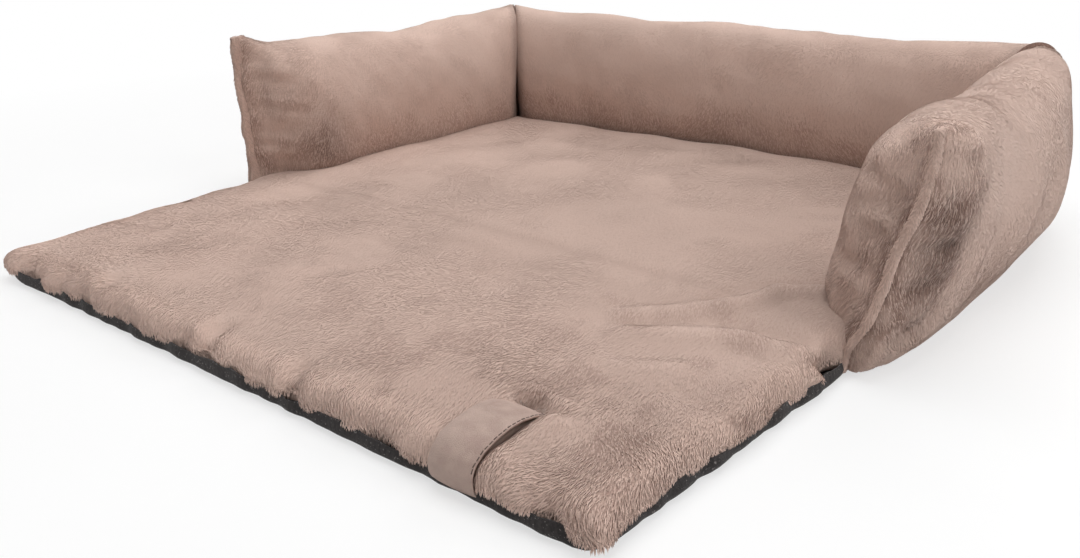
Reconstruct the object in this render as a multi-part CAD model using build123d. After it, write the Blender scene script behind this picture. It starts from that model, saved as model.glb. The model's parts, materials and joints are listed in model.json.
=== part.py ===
from build123d import *
import math
import os

# Dog sofa bed: a padded fur mat with a bolster along three sides and a front flap that folds.
# Millimetres, +Z up, origin under the middle of the bed, the open front faces -Y.

# Mat
flap_depth = 313
arm_setback = 30
mat_front_width = 820
mat_width = 868
seat_height = 45
seat_crown = 4
flap_height = 39
flap_crown = 4
edge_tuck = 6
edge_bulge_height = 22
edge_knee_run = 27
edge_knee_drop = 4
fold_wedge_slope = 46
fold_wedge_height = 22
fold_wedge_run = 64
base_cloth = 2.5
base_rim_height = 12
fur_wall = 6
fold_seam_radius = 2.5

# Bolster
arm_length = 575
arm_centre_x = 437
bolster_thickness = 124
bolster_height = 209
back_height = 214
bolster_wall = 5
bag_cloth = 1.2
foot_width_share = 0.55
widest_height_share = 0.45
shoulder_width_share = 0.72
shoulder_drop_share = 0.46
front_splay = 8
front_lean = 29
corner_pinch = 18
corner_thickness = 88
corner_height = 225
corner_seam = 1.6
corner_seam_inset = 2
corner_set_in = 21.5
welt_thickness = 5
welt_depth = 6

# Each arm station, from the front seam to the last one before the corner, as shares of the
# arm's length, thickness and height, the front splay and lean, the corner pinch and turn.
arm_station_shares = [
    (0.00, 0.065, 1.057, 1.0, 1.0, 0.0, 0.0),
    (0.03, 0.25, 1.050, 0.9, 0.9, 0.0, 0.0),
    (0.10, 0.62, 1.035, 0.6, 0.7, 0.0, 0.0),
    (0.25, 0.92, 1.015, 0.2, 0.35, 0.0, 0.0),
    (0.50, 1.00, 1.000, 0.0, 0.1, 0.0, 0.0),
    (0.78, 0.97, 1.018, 0.0, 0.0, 0.30, 0.0),
    (0.91, 0.87, 1.045, 0.0, 0.0, 0.70, 0.45),
]

# Each back station, from the middle to the last one before a corner, as shares of the
# corner's distance, the back's thickness and height, the corner's set-in and its turn.
back_station_shares = [
    (0.00, 1.00, 1.000, 0.0, 0.0),
    (0.15, 1.00, 1.000, 0.0, 0.0),
    (0.30, 1.00, 1.000, 0.0, 0.0),
    (0.45, 1.00, 1.000, 0.0, 0.0),
    (0.60, 1.00, 1.002, 0.0, 0.0),
    (0.74, 0.985, 1.010, 0.08, 0.0),
    (0.86, 0.93, 1.025, 0.34, 0.12),
    (0.94, 0.83, 1.038, 0.70, 0.50),
]

# Label strap
strap_width = 44
strap_centre_x = 281
strap_reach = 78
strap_thickness = 1.8
stitch_length = 3.2
stitch_pitch = 5.2
stitch_width = 0.8
stitch_height = 0.5
stitch_edge_margin = 3
stitch_count = 13
stitch_start = 6

# Rear zip and care label
zip_length = 440
zip_place_share = 0.3
tape_width = 12
tape_thickness = 0.8
tape_gap = 0.2
coil_radius = 0.8
stop_length = 3
stop_width = 5
stop_height = 2.4
slider_length = 10
slider_width = 8
slider_height = 3
slider_plate = 1.4
bail_radius = 0.8
bail_length = 6
bail_post = 0.9
pull_barrel_radius = 2
pull_barrel_length = 3.6
pull_width = 6
pull_length = 24
pull_thickness = 1.2
care_label_width = 30
care_label_height = 38
care_label_thickness = 0.5
care_label_x = 242
care_label_place_share = 0.2

# Clearances
seat_gap = 0.3
soft_gap = 0.5
bag_gap = 0.8
bore_gap = 0.25
cloth_edge_inset = 1.5
overrun = 40

# Derived places
bolster_half = bolster_thickness / 2
corner_half = corner_thickness / 2
overall_depth = flap_depth + arm_setback + arm_length + bolster_half
front_y = -overall_depth / 2
crease_y = front_y + flap_depth
arm_front_y = crease_y + arm_setback
back_centre_y = arm_front_y + arm_length
corner_x = arm_centre_x - corner_pinch
corner_y = back_centre_y - corner_set_in
mat_half = mat_width / 2
mat_front_half = mat_front_width / 2
fold_foot = fold_seam_radius + seat_gap
slope = math.radians(fold_wedge_slope)
diagonal_share = math.sqrt(0.5)
corner_turn = math.radians(45)
reach = overall_depth + mat_width

os.makedirs("parts", exist_ok=True)


def save(solids, name):
    """Name the sub-part and write it to its own file."""
    solids.label = name
    export_step(solids, f"parts/{name}.step")


def slab(low_y, high_y, low_z, high_z):
    """A block right across the bed between two depths and two heights."""
    middle = ((low_y + high_y) / 2, (low_z + high_z) / 2)
    return Pos(0, middle[0], middle[1]) * Box(reach, high_y - low_y, high_z - low_z)


# Mat pads


def wedge_edges(direction, height, inset):
    """The tapered end of a pad beside the fold, as a line up the slope and an arc onto the top."""
    start = fold_foot + inset / math.sin(slope)
    foot = (crease_y + direction * (start - fold_seam_radius / math.tan(slope)), 0)
    knee_z = fold_wedge_height - inset
    knee_run = start + (knee_z - fold_seam_radius) / math.tan(slope)
    knee = (crease_y + direction * knee_run, knee_z)
    top = (crease_y + direction * (fold_wedge_run + inset), height - inset)
    line = Line(foot, knee)
    arc = TangentArc(knee, top, tangent=(direction * math.cos(slope), math.sin(slope)))
    return foot, line, arc, top


def flap_profile(inset):
    """The flap seen from the side: rounded nose, crowned top and the tapered end at the fold."""
    foot, line, arc, top = wedge_edges(-1, flap_height, inset)
    nose_foot = (front_y + edge_tuck + inset, 0)
    nose = (front_y + inset, edge_bulge_height)
    knee = (front_y + edge_knee_run + inset, flap_height - edge_knee_drop - inset)
    crown = (front_y + flap_depth / 2, flap_height + flap_crown - inset)
    outline = line + arc + ThreePointArc(top, crown, knee)
    outline += ThreePointArc(knee, nose, nose_foot) + Line(nose_foot, foot)
    return make_face(Plane.YZ * outline)


def seat_profile(inset):
    """The seat pad seen from the side, from its tapered end at the fold to the back's middle."""
    foot, line, arc, top = wedge_edges(1, seat_height, inset)
    crown = ((crease_y + back_centre_y) / 2, seat_height + seat_crown - inset)
    rear_top = (back_centre_y - inset, seat_height - inset)
    rear_foot = (back_centre_y - inset, 0)
    outline = line + arc + ThreePointArc(top, crown, rear_top)
    outline += Line(rear_top, rear_foot) + Line(rear_foot, foot)
    return make_face(Plane.YZ * outline)


def side_prism(front_half, height, crown_rise, inset):
    """All that lies inside the mat's right edge, with the edge drawn in at the foot and rounded."""
    along = Vector(mat_half - front_half, flap_depth, 0).normalized()
    outward = Vector(along.Y, -along.X, 0)
    place = Plane(origin=(mat_half, crease_y, 0), x_dir=outward, z_dir=-along)
    foot = (-edge_tuck - inset, 0)
    bulge = (-inset, edge_bulge_height)
    knee = (-edge_knee_run - inset, height - edge_knee_drop - inset)
    crown_top = (-mat_half, height + crown_rise - inset)
    far_top = (-reach, height + crown_rise - inset)
    far_foot = (-reach, 0)
    outline = Line(far_foot, foot) + ThreePointArc(foot, bulge, knee)
    outline += TangentArc(crown_top, knee, tangent=(1, 0))
    outline += Line(crown_top, far_top) + Line(far_top, far_foot)
    return extrude(make_face(place * outline), amount=reach, both=True)


def flap_pad(inset, floor):
    """The flap's whole form, drawn in all round by the inset."""
    side = side_prism(mat_front_half, flap_height, flap_crown, inset)
    body = extrude(flap_profile(inset), amount=reach, both=True)
    pad = body & side & mirror(side, about=Plane.YZ)
    return pad & slab(front_y - overrun, crease_y - fold_foot, floor, reach)


def footprint(width_share, trim):
    """The outline in plan through the mat's front edges and a share out across each bolster."""
    side_x = mat_half - edge_tuck
    right = [(side_x, crease_y + fold_foot), (side_x, arm_front_y - welt_depth)]
    corner = ((corner_x, corner_y), (diagonal_share, diagonal_share), corner_half)
    for (x, y), (across_x, across_y), half, *rest in [*arm_places(), corner, *reversed(back_places())]:
        out = max(half * width_share - trim, 0)
        right.append((x + out * across_x, y + out * across_y))
    left = [(-x, y) for x, y in reversed(right[:-1])]
    return make_face(Polyline(*right, *left, close=True))


def seat_pad(inset, floor):
    """The seat's whole form before the bolster is taken out of its edges."""
    side = side_prism(mat_half, seat_height, seat_crown, inset)
    body = extrude(seat_profile(inset), amount=reach, both=True)
    pad = body & side & mirror(side, about=Plane.YZ) & extrude(footprint(0, 0), amount=reach)
    return pad & slab(crease_y + fold_foot, back_centre_y, floor, reach)


# Bolster


def bolster_section(centre, across, half, height, lean, inset, floor):
    """One cross-section: a flat foot, two rounded sides and a rounded top."""
    half -= inset
    height -= inset
    top_share = 1 / height

    def place(s, z):
        out = s + lean * z * top_share
        return Vector(centre[0] + out * across[0], centre[1] + out * across[1], z)

    foot = half * foot_width_share
    shoulder = half * shoulder_width_share
    widest_z = height * widest_height_share
    shoulder_z = height - half * shoulder_drop_share
    inner_foot = place(-foot, floor)
    outer_foot = place(foot, floor)
    inner_shoulder = place(-shoulder, shoulder_z)
    outer_shoulder = place(shoulder, shoulder_z)
    outline = Line(inner_foot, outer_foot)
    outline += ThreePointArc(outer_foot, place(half, widest_z), outer_shoulder)
    outline += ThreePointArc(outer_shoulder, place(0, height), inner_shoulder)
    outline += ThreePointArc(inner_shoulder, place(-half, widest_z), inner_foot)
    return make_face(outline)


def turned(turn_share, straight):
    """The direction across a bolster, turned from straight toward the corner's diagonal."""
    angle = turn_share * corner_turn
    near, far = math.cos(angle), math.sin(angle)
    return (near, far) if straight == "x" else (far, near)


def arm_places():
    """Each arm station's centre, direction, half thickness, height and lean, front to back."""
    places = []
    run = corner_y - arm_front_y
    for run_share, half_share, height_share, splay, lean, pinch, turn in arm_station_shares:
        x = arm_centre_x + splay * front_splay - pinch * corner_pinch
        y = arm_front_y + run_share * run
        size = (half_share * bolster_half, height_share * bolster_height, lean * front_lean)
        places.append(((x, y), turned(turn, "x"), *size))
    return places


def back_places():
    """Each right-hand back station's centre, direction, half thickness, height and lean."""
    places = []
    for run_share, half_share, height_share, set_in, turn in back_station_shares:
        y = back_centre_y - set_in * corner_set_in
        size = (half_share * bolster_half, height_share * back_height, 0)
        places.append(((run_share * corner_x, y), turned(turn, "y"), *size))
    return places


def corner_section(side, toward_arm, inset, floor):
    """The pinched section at a corner, moved off the corner seam to the arm or to the back."""
    shift = corner_seam / 2 + inset
    away = toward_arm * diagonal_share * shift
    centre = (side * (corner_x + away), corner_y - away)
    across = (side * diagonal_share, diagonal_share)
    return bolster_section(centre, across, corner_half - inset, corner_height, 0, inset, floor)


def arm_loft(inset, floor):
    """The right arm, from its thin front seam to the corner."""
    places = arm_places()
    if inset > 0:
        places = places[1:]
    (x, y), *front = places[0]
    sections = [bolster_section((x, y + inset), *front, inset, floor)]
    for place in places[1:]:
        sections.append(bolster_section(*place, inset, floor))
    sections.append(corner_section(1, 1, inset, floor))
    return loft(sections)


def back_loft(inset, floor):
    """The back, from corner to corner."""
    right = back_places()
    left = [((-x, y), (-across_x, across_y), *size) for (x, y), (across_x, across_y), *size in right[1:]]
    sections = [corner_section(-1, -1, inset, floor)]
    for place in [*reversed(left), *right]:
        sections.append(bolster_section(*place, inset, floor))
    sections.append(corner_section(1, -1, inset, floor))
    return loft(sections)


def nested_parts(make_loft):
    """A bolster's fur cover, its inner bag and the filling, each inside the one before."""
    foot = base_cloth
    bag_inset = bolster_wall + bag_gap
    fill_inset = bag_inset + bag_cloth + bag_gap
    hollow = make_loft(bolster_wall, foot + bolster_wall)
    cover = make_loft(0, foot) - hollow
    bag_hollow = make_loft(bag_inset + bag_cloth, foot + bolster_wall + bag_cloth)
    bag = make_loft(bag_inset, foot + bolster_wall) - bag_hollow
    filling = make_loft(fill_inset, foot + bolster_wall + bag_cloth)
    return cover, bag, filling


arm_cover, arm_bag, arm_filling = nested_parts(arm_loft)
for side_name in ("left", "right"):
    for piece, piece_name in ((arm_cover, "cover"), (arm_bag, "inner_bag"), (arm_filling, "filling")):
        sided = mirror(piece, about=Plane.YZ) if side_name == "left" else piece
        save(sided, f"{side_name}_arm_{piece_name}")

back_cover, back_bag, back_filling = nested_parts(back_loft)
save(back_cover, "back_cover")
save(back_bag, "back_inner_bag")
save(back_filling, "back_filling")


def corner_sheet(inset, floor):
    """The cloth wall's place between arm and back in the right corner, drawn in by the inset."""
    centre = (corner_x, corner_y)
    across = (diagonal_share, diagonal_share)
    wall = bolster_section(centre, across, corner_half, corner_height, 0, inset, floor)
    return extrude(wall, amount=corner_seam / 2, both=True)


def arm_end_welt():
    """The raised flat seam that closes the right arm's front end."""
    (x, y), across, half, height, lean = arm_places()[0]
    low = base_cloth
    lean_low = lean * low / height
    welt_half = welt_thickness / 2
    corners = [
        (x + lean_low - welt_half, low),
        (x + lean_low + welt_half, low),
        (x + lean + welt_half, height),
        (x + lean - welt_half, height),
    ]
    face = make_face(Plane.XZ * Polyline(*corners, close=True))
    return Pos(0, y, 0) * extrude(face, amount=welt_depth)


corner_seam_piece = corner_sheet(corner_seam_inset, base_cloth)
for piece, piece_name in ((corner_seam_piece, "corner_seam"), (arm_end_welt(), "arm_end_welt")):
    save(piece, f"right_{piece_name}")
    save(mirror(piece, about=Plane.YZ), f"left_{piece_name}")

# Seat


def bolster_room(gap):
    """The room that the bolster takes out of the seat, with a gap all round it."""
    right = [arm_loft(-gap, 0), corner_sheet(-gap, 0)]
    return [*right, *[mirror(piece, about=Plane.YZ) for piece in right], back_loft(-gap, 0)]


near_room = bolster_room(soft_gap)
wide_room = bolster_room(soft_gap + fur_wall)

rim_end_y = arm_front_y + welt_depth
seat_form = seat_pad(0, base_cloth) - near_room
seat_hollow = seat_pad(fur_wall, base_cloth) - wide_room
low_front = slab(crease_y, rim_end_y, 0, base_rim_height)
save(seat_form - seat_hollow - low_front, "seat_fur_cover")

seat_filling = seat_pad(fur_wall + soft_gap, base_cloth) - bolster_room(fur_wall + 2 * soft_gap)
save(seat_filling, "seat_filling")


seat_cloth = extrude(footprint(foot_width_share, cloth_edge_inset), amount=base_cloth)
rim_zone = slab(crease_y, rim_end_y, 0, base_rim_height)
seat_rim = (seat_pad(0, 0) - seat_pad(base_cloth, 0)) & rim_zone
save(seat_cloth + (seat_rim - near_room), "seat_base_cloth")

fold_seam_length = mat_width - 2 * edge_tuck
fold_seam = Pos(0, crease_y, fold_seam_radius) * Rot(0, 90, 0) * Cylinder(fold_seam_radius, fold_seam_length)
save(fold_seam, "fold_seam")

# Flap

flap_form = flap_pad(0, 0)
flap_low = slab(front_y - overrun, crease_y, 0, base_rim_height)
flap_cover = flap_form - flap_pad(fur_wall, 0) - flap_low
flap_cloth = (flap_form & flap_low) - flap_pad(base_cloth, base_cloth)
save(flap_cover, "flap_fur_cover")
save(flap_cloth, "flap_base_cloth")
save(flap_pad(fur_wall + soft_gap, base_cloth), "flap_filling")


def nose_band(lift, thickness, low_y, high_y):
    """A band that follows the flap's front at a lift above its fur, between two depths."""
    outline = flap_profile(0)
    band = offset(outline, lift + thickness) - offset(outline, lift)
    window = Plane.YZ * Rectangle(high_y - low_y, reach, align=(Align.MIN, Align.MIN))
    return band & (Pos(0, low_y, 0) * window)


strap_end_y = front_y + strap_reach
strap_face = nose_band(seat_gap, strap_thickness, front_y - overrun, strap_end_y)
strap = Pos(strap_centre_x, 0, 0) * extrude(strap_face, amount=strap_width / 2, both=True)
save(strap, "label_strap")

stitches = []
stitch_x = strap_width / 2 - stitch_edge_margin
for row_x in (strap_centre_x - stitch_x, strap_centre_x + stitch_x):
    for count in range(stitch_count):
        low_y = front_y + stitch_start + count * stitch_pitch
        face = nose_band(seat_gap + strap_thickness, stitch_height, low_y, low_y + stitch_length)
        top_face = face.faces().sort_by(Axis.Z)[-1]
        stitches.append(Pos(row_x, 0, 0) * extrude(top_face, amount=stitch_width / 2, both=True))
save(Compound(children=stitches), "label_stitching")

# Rear zip and care label


def rear_plane(x, place_share):
    """The plane that lies on the back cover's outer side: up the cover and out of it."""
    foot = (bolster_half * foot_width_share, base_cloth)
    widest = (bolster_half, back_height * widest_height_share)
    shoulder = (bolster_half * shoulder_width_share, back_height - bolster_half * shoulder_drop_share)
    side = ThreePointArc(foot, widest, shoulder)
    point = side @ place_share
    rise = side % place_share
    origin = (x, back_centre_y + point.X, point.Y)
    return Plane(origin=origin, x_dir=(-1, 0, 0), z_dir=(0, rise.Y, -rise.X))


def strip(plane, low, high):
    """A block between two corners given along, up and out of a plane."""
    size = [b - a for a, b in zip(low, high)]
    middle = [(a + b) / 2 for a, b in zip(low, high)]
    return plane * Pos(*middle) * Box(*size)


zip_plane = rear_plane(0, zip_place_share)
zip_half = zip_length / 2
tape_top = seat_gap + tape_thickness
coil_half = zip_half - stop_length
coil_top = tape_top + 2 * coil_radius

upper_tape = strip(zip_plane, (-zip_half, tape_gap, seat_gap), (zip_half, tape_width, tape_top))
lower_tape = strip(zip_plane, (-zip_half, -tape_width, seat_gap), (zip_half, -tape_gap, tape_top))
save(upper_tape, "zip_upper_tape")
save(lower_tape, "zip_lower_tape")

for sign, name in ((1, "upper"), (-1, "lower")):
    coil_place = Pos(0, sign * (coil_radius + tape_gap / 2), tape_top + coil_radius)
    coil = zip_plane * coil_place * Rot(0, 90, 0) * Cylinder(coil_radius, 2 * coil_half)
    save(coil, f"zip_{name}_teeth")

stops = []
for sign in (-1, 1):
    near = sign * coil_half
    far = sign * zip_half
    low = (min(near, far), -stop_width / 2, tape_top)
    high = (max(near, far), stop_width / 2, tape_top + stop_height)
    stops.append(strip(zip_plane, low, high))
save(Compound(children=stops), "zip_end_stops")

slider_u = -coil_half + slider_length / 2 + seat_gap
slider_foot = tape_top + seat_gap
slider_top = slider_foot + slider_height
slider_low = (slider_u - slider_length / 2, -slider_width / 2, slider_foot)
slider_high = (slider_u + slider_length / 2, slider_width / 2, slider_top)
channel_half = 2 * coil_radius + tape_gap / 2 + seat_gap
channel_low = (slider_u - slider_length, -channel_half, 0)
channel_high = (slider_u + slider_length, channel_half, coil_top + seat_gap)
bail_out = slider_top + pull_barrel_radius + seat_gap
slider = strip(zip_plane, slider_low, slider_high) - strip(zip_plane, channel_low, channel_high)
for sign in (-1, 1):
    post_u = slider_u + sign * (bail_length - bail_post) / 2
    post_low = (post_u - bail_post / 2, -bail_radius, slider_top - slider_plate / 2)
    post_high = (post_u + bail_post / 2, bail_radius, bail_out + bail_radius)
    slider += strip(zip_plane, post_low, post_high)
bail_place = zip_plane * Pos(slider_u, 0, bail_out)
slider += bail_place * Rot(0, 90, 0) * Cylinder(bail_radius, bail_length)
save(slider, "zip_slider")

bail_centre = bail_place.position
barrel = Rot(0, 90, 0) * Cylinder(pull_barrel_radius, pull_barrel_length)
tab_middle = -(pull_barrel_radius + pull_length) / 2
tab = Pos(0, 0, tab_middle) * Box(pull_width, pull_thickness, pull_length - pull_barrel_radius)
neck_low = -pull_barrel_radius * 2
neck = Pos(0, 0, neck_low / 2) * Box(pull_barrel_length, pull_thickness, -neck_low)
tab &= Pos(0, 0, neck_low - reach / 2) * Box(reach, reach, reach)
bore = Rot(0, 90, 0) * Cylinder(bail_radius + bore_gap, reach)
save(Pos(*bail_centre) * (barrel + neck + tab - bore), "zip_pull")
print("pull hinge", [round(v, 3) for v in bail_centre])

label_plane = rear_plane(care_label_x, care_label_place_share)
label_half = care_label_width / 2
label_low = (-label_half, -care_label_height / 2, seat_gap)
label_high = (label_half, care_label_height / 2, seat_gap + care_label_thickness)
save(strip(label_plane, label_low, label_high), "care_label")
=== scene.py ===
"""A dog sofa bed: a plush mat with a fold-down front flap and a bolster round three sides.

Metres, +Z up. The floor is z = 0 and the open front of the bed faces -Y.
"""

import json
import logging
import math
from contextlib import contextmanager
from dataclasses import dataclass
from enum import Enum
from typing import Callable, Iterable, Iterator, Sequence

import bpy
import numpy as np
from mathutils import Matrix, Vector
from mathutils.bvhtree import BVHTree

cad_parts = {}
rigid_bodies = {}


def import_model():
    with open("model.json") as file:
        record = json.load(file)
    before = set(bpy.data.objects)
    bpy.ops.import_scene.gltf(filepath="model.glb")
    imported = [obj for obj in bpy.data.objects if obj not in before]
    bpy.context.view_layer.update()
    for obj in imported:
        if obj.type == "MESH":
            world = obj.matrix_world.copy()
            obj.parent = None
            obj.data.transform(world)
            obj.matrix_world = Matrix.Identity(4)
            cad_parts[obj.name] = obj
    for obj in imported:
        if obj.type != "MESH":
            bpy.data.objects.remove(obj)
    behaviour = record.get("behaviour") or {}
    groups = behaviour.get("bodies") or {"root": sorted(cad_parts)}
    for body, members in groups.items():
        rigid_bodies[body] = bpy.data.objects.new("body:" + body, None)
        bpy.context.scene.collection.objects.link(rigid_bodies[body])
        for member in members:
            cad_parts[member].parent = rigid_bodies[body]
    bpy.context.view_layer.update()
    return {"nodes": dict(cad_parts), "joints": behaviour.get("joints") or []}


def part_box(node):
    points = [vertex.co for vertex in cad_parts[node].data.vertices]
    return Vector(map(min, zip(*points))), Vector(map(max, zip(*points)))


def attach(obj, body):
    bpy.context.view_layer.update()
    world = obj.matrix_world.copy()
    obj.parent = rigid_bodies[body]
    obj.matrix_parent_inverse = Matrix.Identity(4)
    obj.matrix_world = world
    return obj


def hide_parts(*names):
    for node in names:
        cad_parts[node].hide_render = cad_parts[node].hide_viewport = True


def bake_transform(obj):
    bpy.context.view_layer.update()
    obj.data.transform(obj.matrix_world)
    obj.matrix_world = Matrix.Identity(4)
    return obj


LOG = logging.getLogger("dog_sofa_bed")
Points = np.ndarray
Colour = tuple[float, float, float]
Piece = bpy.types.Object
Material = bpy.types.Material
Socket = bpy.types.NodeSocket

UP = np.array([0.0, 0.0, 1.0])
LEVEL = np.array([1.0, 1.0, 0.0])
BED = "bed"
FLAP = "flap"
FOLD_JOINT = "flap_fold"
TINY = 1e-9


# Reading and writing meshes


def select_only(*pieces: Piece) -> None:
    """Select these objects and nothing else, and make the first one active."""
    bpy.ops.object.select_all(action="DESELECT")
    for piece in pieces:
        piece.select_set(True)
    bpy.context.view_layer.objects.active = pieces[0]


@contextmanager
def editing(piece: Piece, select: str = "SELECT") -> Iterator[None]:
    """Edit a mesh, first with all or nothing selected, and then leave edit mode.

    Args:
        piece: the mesh object.
        select: SELECT for all of it, or DESELECT for nothing.
    """
    select_only(piece)
    bpy.ops.object.mode_set(mode="EDIT")
    bpy.ops.mesh.select_all(action=select)
    yield
    bpy.ops.object.mode_set(mode="OBJECT")


def new_object(name: str, data: bpy.types.ID) -> Piece:
    """Put a new object in the scene for a mesh, a lamp or a camera."""
    piece = bpy.data.objects.new(name, data)
    bpy.context.scene.collection.objects.link(piece)
    return piece


def new_grid(name: str, columns: int, rows: int) -> Piece:
    """Make a flat square sheet one metre wide, to be shaped."""
    bpy.ops.mesh.primitive_grid_add(x_subdivisions=columns, y_subdivisions=rows, size=1)
    piece = bpy.context.object
    piece.name = piece.data.name = name
    return piece


def read_points(piece: Piece) -> Points:
    """Read a mesh object's points as an array of rows."""
    points = np.empty(len(piece.data.vertices) * 3)
    piece.data.vertices.foreach_get("co", points)
    return points.reshape(-1, 3)


def write_points(piece: Piece, points: Points) -> None:
    """Move a mesh object's points to these places."""
    piece.data.vertices.foreach_set("co", points.ravel())
    piece.data.update()


def read_normals(piece: Piece) -> Points:
    """Read the normal at each point of a mesh object."""
    normals = np.empty(len(piece.data.vertices) * 3, np.float32)
    piece.data.vertex_normals.foreach_get("vector", normals)
    return normals.reshape(-1, 3).astype(float)


def unit(rows: Points) -> Points:
    """Scale each row to a length of one."""
    return rows / np.maximum(np.linalg.norm(rows, axis=1, keepdims=True), 1e-12)


def ease(low: float, high: float, values: Points) -> Points:
    """Rise smoothly from 0 at low to 1 at high."""
    share = np.clip((values - low) / (high - low), 0, 1)
    return share * share * (3 - 2 * share)


def hump(values: Points, middle: float, width: float) -> Points:
    """A bell of height 1 round a middle value."""
    return np.exp(-(((values - middle) / width) ** 2))


def modify(piece: Piece, name: str, kind: str, **settings: object) -> None:
    """Put a modifier on a piece.

    Args:
        piece: the mesh object.
        name: the modifier's name.
        kind: the modifier's type.
        settings: its options by name.
    """
    modifier = piece.modifiers.new(name, kind)
    for key, value in settings.items():
        setattr(modifier, key, value)


def apply_modifiers(piece: Piece) -> None:
    """Apply every modifier on a piece, in order."""
    select_only(piece)
    for modifier in list(piece.modifiers):
        bpy.ops.object.modifier_apply(modifier=modifier.name)


def shade_smooth(piece: Piece, degrees: float = 180) -> None:
    """Shade a piece smooth, except over edges sharper than an angle."""
    select_only(piece)
    if degrees < 180:
        bpy.ops.object.shade_smooth_by_angle(angle=math.radians(degrees))
    else:
        bpy.ops.object.shade_smooth()


def relax(piece: Piece, repeat: int, factor: float = 0.5) -> None:
    """Smooth all of a mesh's points a number of times."""
    with editing(piece):
        bpy.ops.mesh.vertices_smooth(factor=factor, repeat=repeat)


def face_out(piece: Piece) -> None:
    """Turn all of a closed mesh's faces outward."""
    with editing(piece):
        bpy.ops.mesh.normals_make_consistent(inside=False)


def settle(piece: Piece, body: str, finish: Material) -> None:
    """Give a finished piece its material and slot, and set it on its body.

    Args:
        piece: the finished mesh object.
        body: the CAD body that it moves with, or BED + FLAP where it crosses the fold.
        finish: the material it wears.
    """
    piece.data.materials.clear()
    piece.data.materials.append(finish)
    if body == BED + FLAP:
        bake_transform(piece)
    else:
        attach(piece, body)
    LOG.info("%s: %d faces on %s", piece.name, len(piece.data.polygons), body)


def store(piece: Piece, name: str, values: Points | float) -> None:
    """Keep a value for each point of a mesh, for its material to read."""
    layer = piece.data.attributes.new(name, "FLOAT", "POINT")
    rows = np.broadcast_to(values, len(piece.data.vertices))
    layer.data.foreach_set("value", rows.astype(np.float32))


def back_pile(
    skin: Piece, body: str, backing: Material, part: Points | float, tone: Points | float
) -> None:
    """Dress the cover under a pile.

    Args:
        skin: the cover.
        body: the body that it moves with.
        backing: its material.
        part: how far the pile shows its dark parted colours at each point, for parted pile and for
            painted shade.
        tone: the pile's brightness at each point, with painted light and shade.
    """
    store(skin, "part", part)
    store(skin, "tone", tone)
    settle(skin, body, backing)


def frame_joint(name: str) -> Sequence[float]:
    """The place of a joint in the row frame."""
    return next(joint["pos_m"] for joint in frame["joints"] if joint["name"] == name)


def node_copy(name: str, nodes: Iterable[str]) -> Piece:
    """Join copies of CAD nodes into a new object, keeping only each node's outer shell.

    Args:
        name: the new object's name.
        nodes: the CAD nodes to copy.

    Returns:
        The new object, with no material and no parent.
    """
    kept = []
    for node in nodes:
        piece = new_object(name, frame["nodes"][node].data.copy())
        with editing(piece):
            bpy.ops.mesh.remove_doubles(threshold=2e-5)
            bpy.ops.mesh.customdata_custom_splitnormals_clear()
            bpy.ops.mesh.separate(type="LOOSE")
        shells = sorted(bpy.context.selected_objects, key=lambda shell: shell.dimensions.length)
        kept.append(shells.pop())
        for shell in shells:
            bpy.data.objects.remove(shell)
    select_only(*kept)
    if len(kept) > 1:
        bpy.ops.object.join()
    piece = bpy.context.view_layer.objects.active
    piece.name = piece.data.name = name
    piece.data.materials.clear()
    return piece


def remesh(piece: Piece, voxel: float) -> None:
    """Rebuild a closed mesh in even small faces."""
    select_only(piece)
    piece.data.remesh_voxel_size = voxel
    bpy.ops.object.voxel_remesh()


# Smooth random fields


@dataclass(frozen=True)
class Waves:
    """A smooth random field, as a sum of plane waves.

    Attributes:
        seed: picks the field.
        wavelength: about how far apart its hills are.
        count: how many waves are added.
    """

    seed: int
    wavelength: float
    count: int = 16

    def at(self, points: Points) -> Points:
        """The field's value at each point, mostly from -2 to 2."""
        rng = np.random.default_rng(self.seed)
        ways = unit(rng.normal(size=(self.count, 3)))
        lengths = self.wavelength * rng.uniform(0.6, 1.6, self.count)
        phases = rng.uniform(0, 2 * math.pi, self.count)
        total = np.zeros(len(points))
        for way, length, phase in zip(ways, lengths, phases):
            total += np.sin(points @ way * (2 * math.pi / length) + phase)
        return total / math.sqrt(self.count / 2)


def plan_distance(points: Points, place: Sequence[float]) -> Points:
    """How far each point is from a place, seen from above."""
    return np.linalg.norm(points[:, :2] - np.array(place), axis=1)


def uneven(points: Points, seed: int, *fields: tuple[float, float]) -> Points:
    """Add up smooth random fields with seeds that follow on from each other.

    Args:
        points: where to look.
        seed: the first field's seed.
        fields: each field's height and wavelength.

    Returns:
        The sum at each point.
    """
    total = np.zeros(len(points))
    for number, (height, wavelength) in enumerate(fields):
        total += height * Waves(seed + number, wavelength).at(points)
    return total


# Finishes


MIX_FIRST, MIX_SECOND, MIX_RESULT = 6, 7, 2
WHITE = (1.0, 1.0, 1.0, 1.0)


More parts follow.
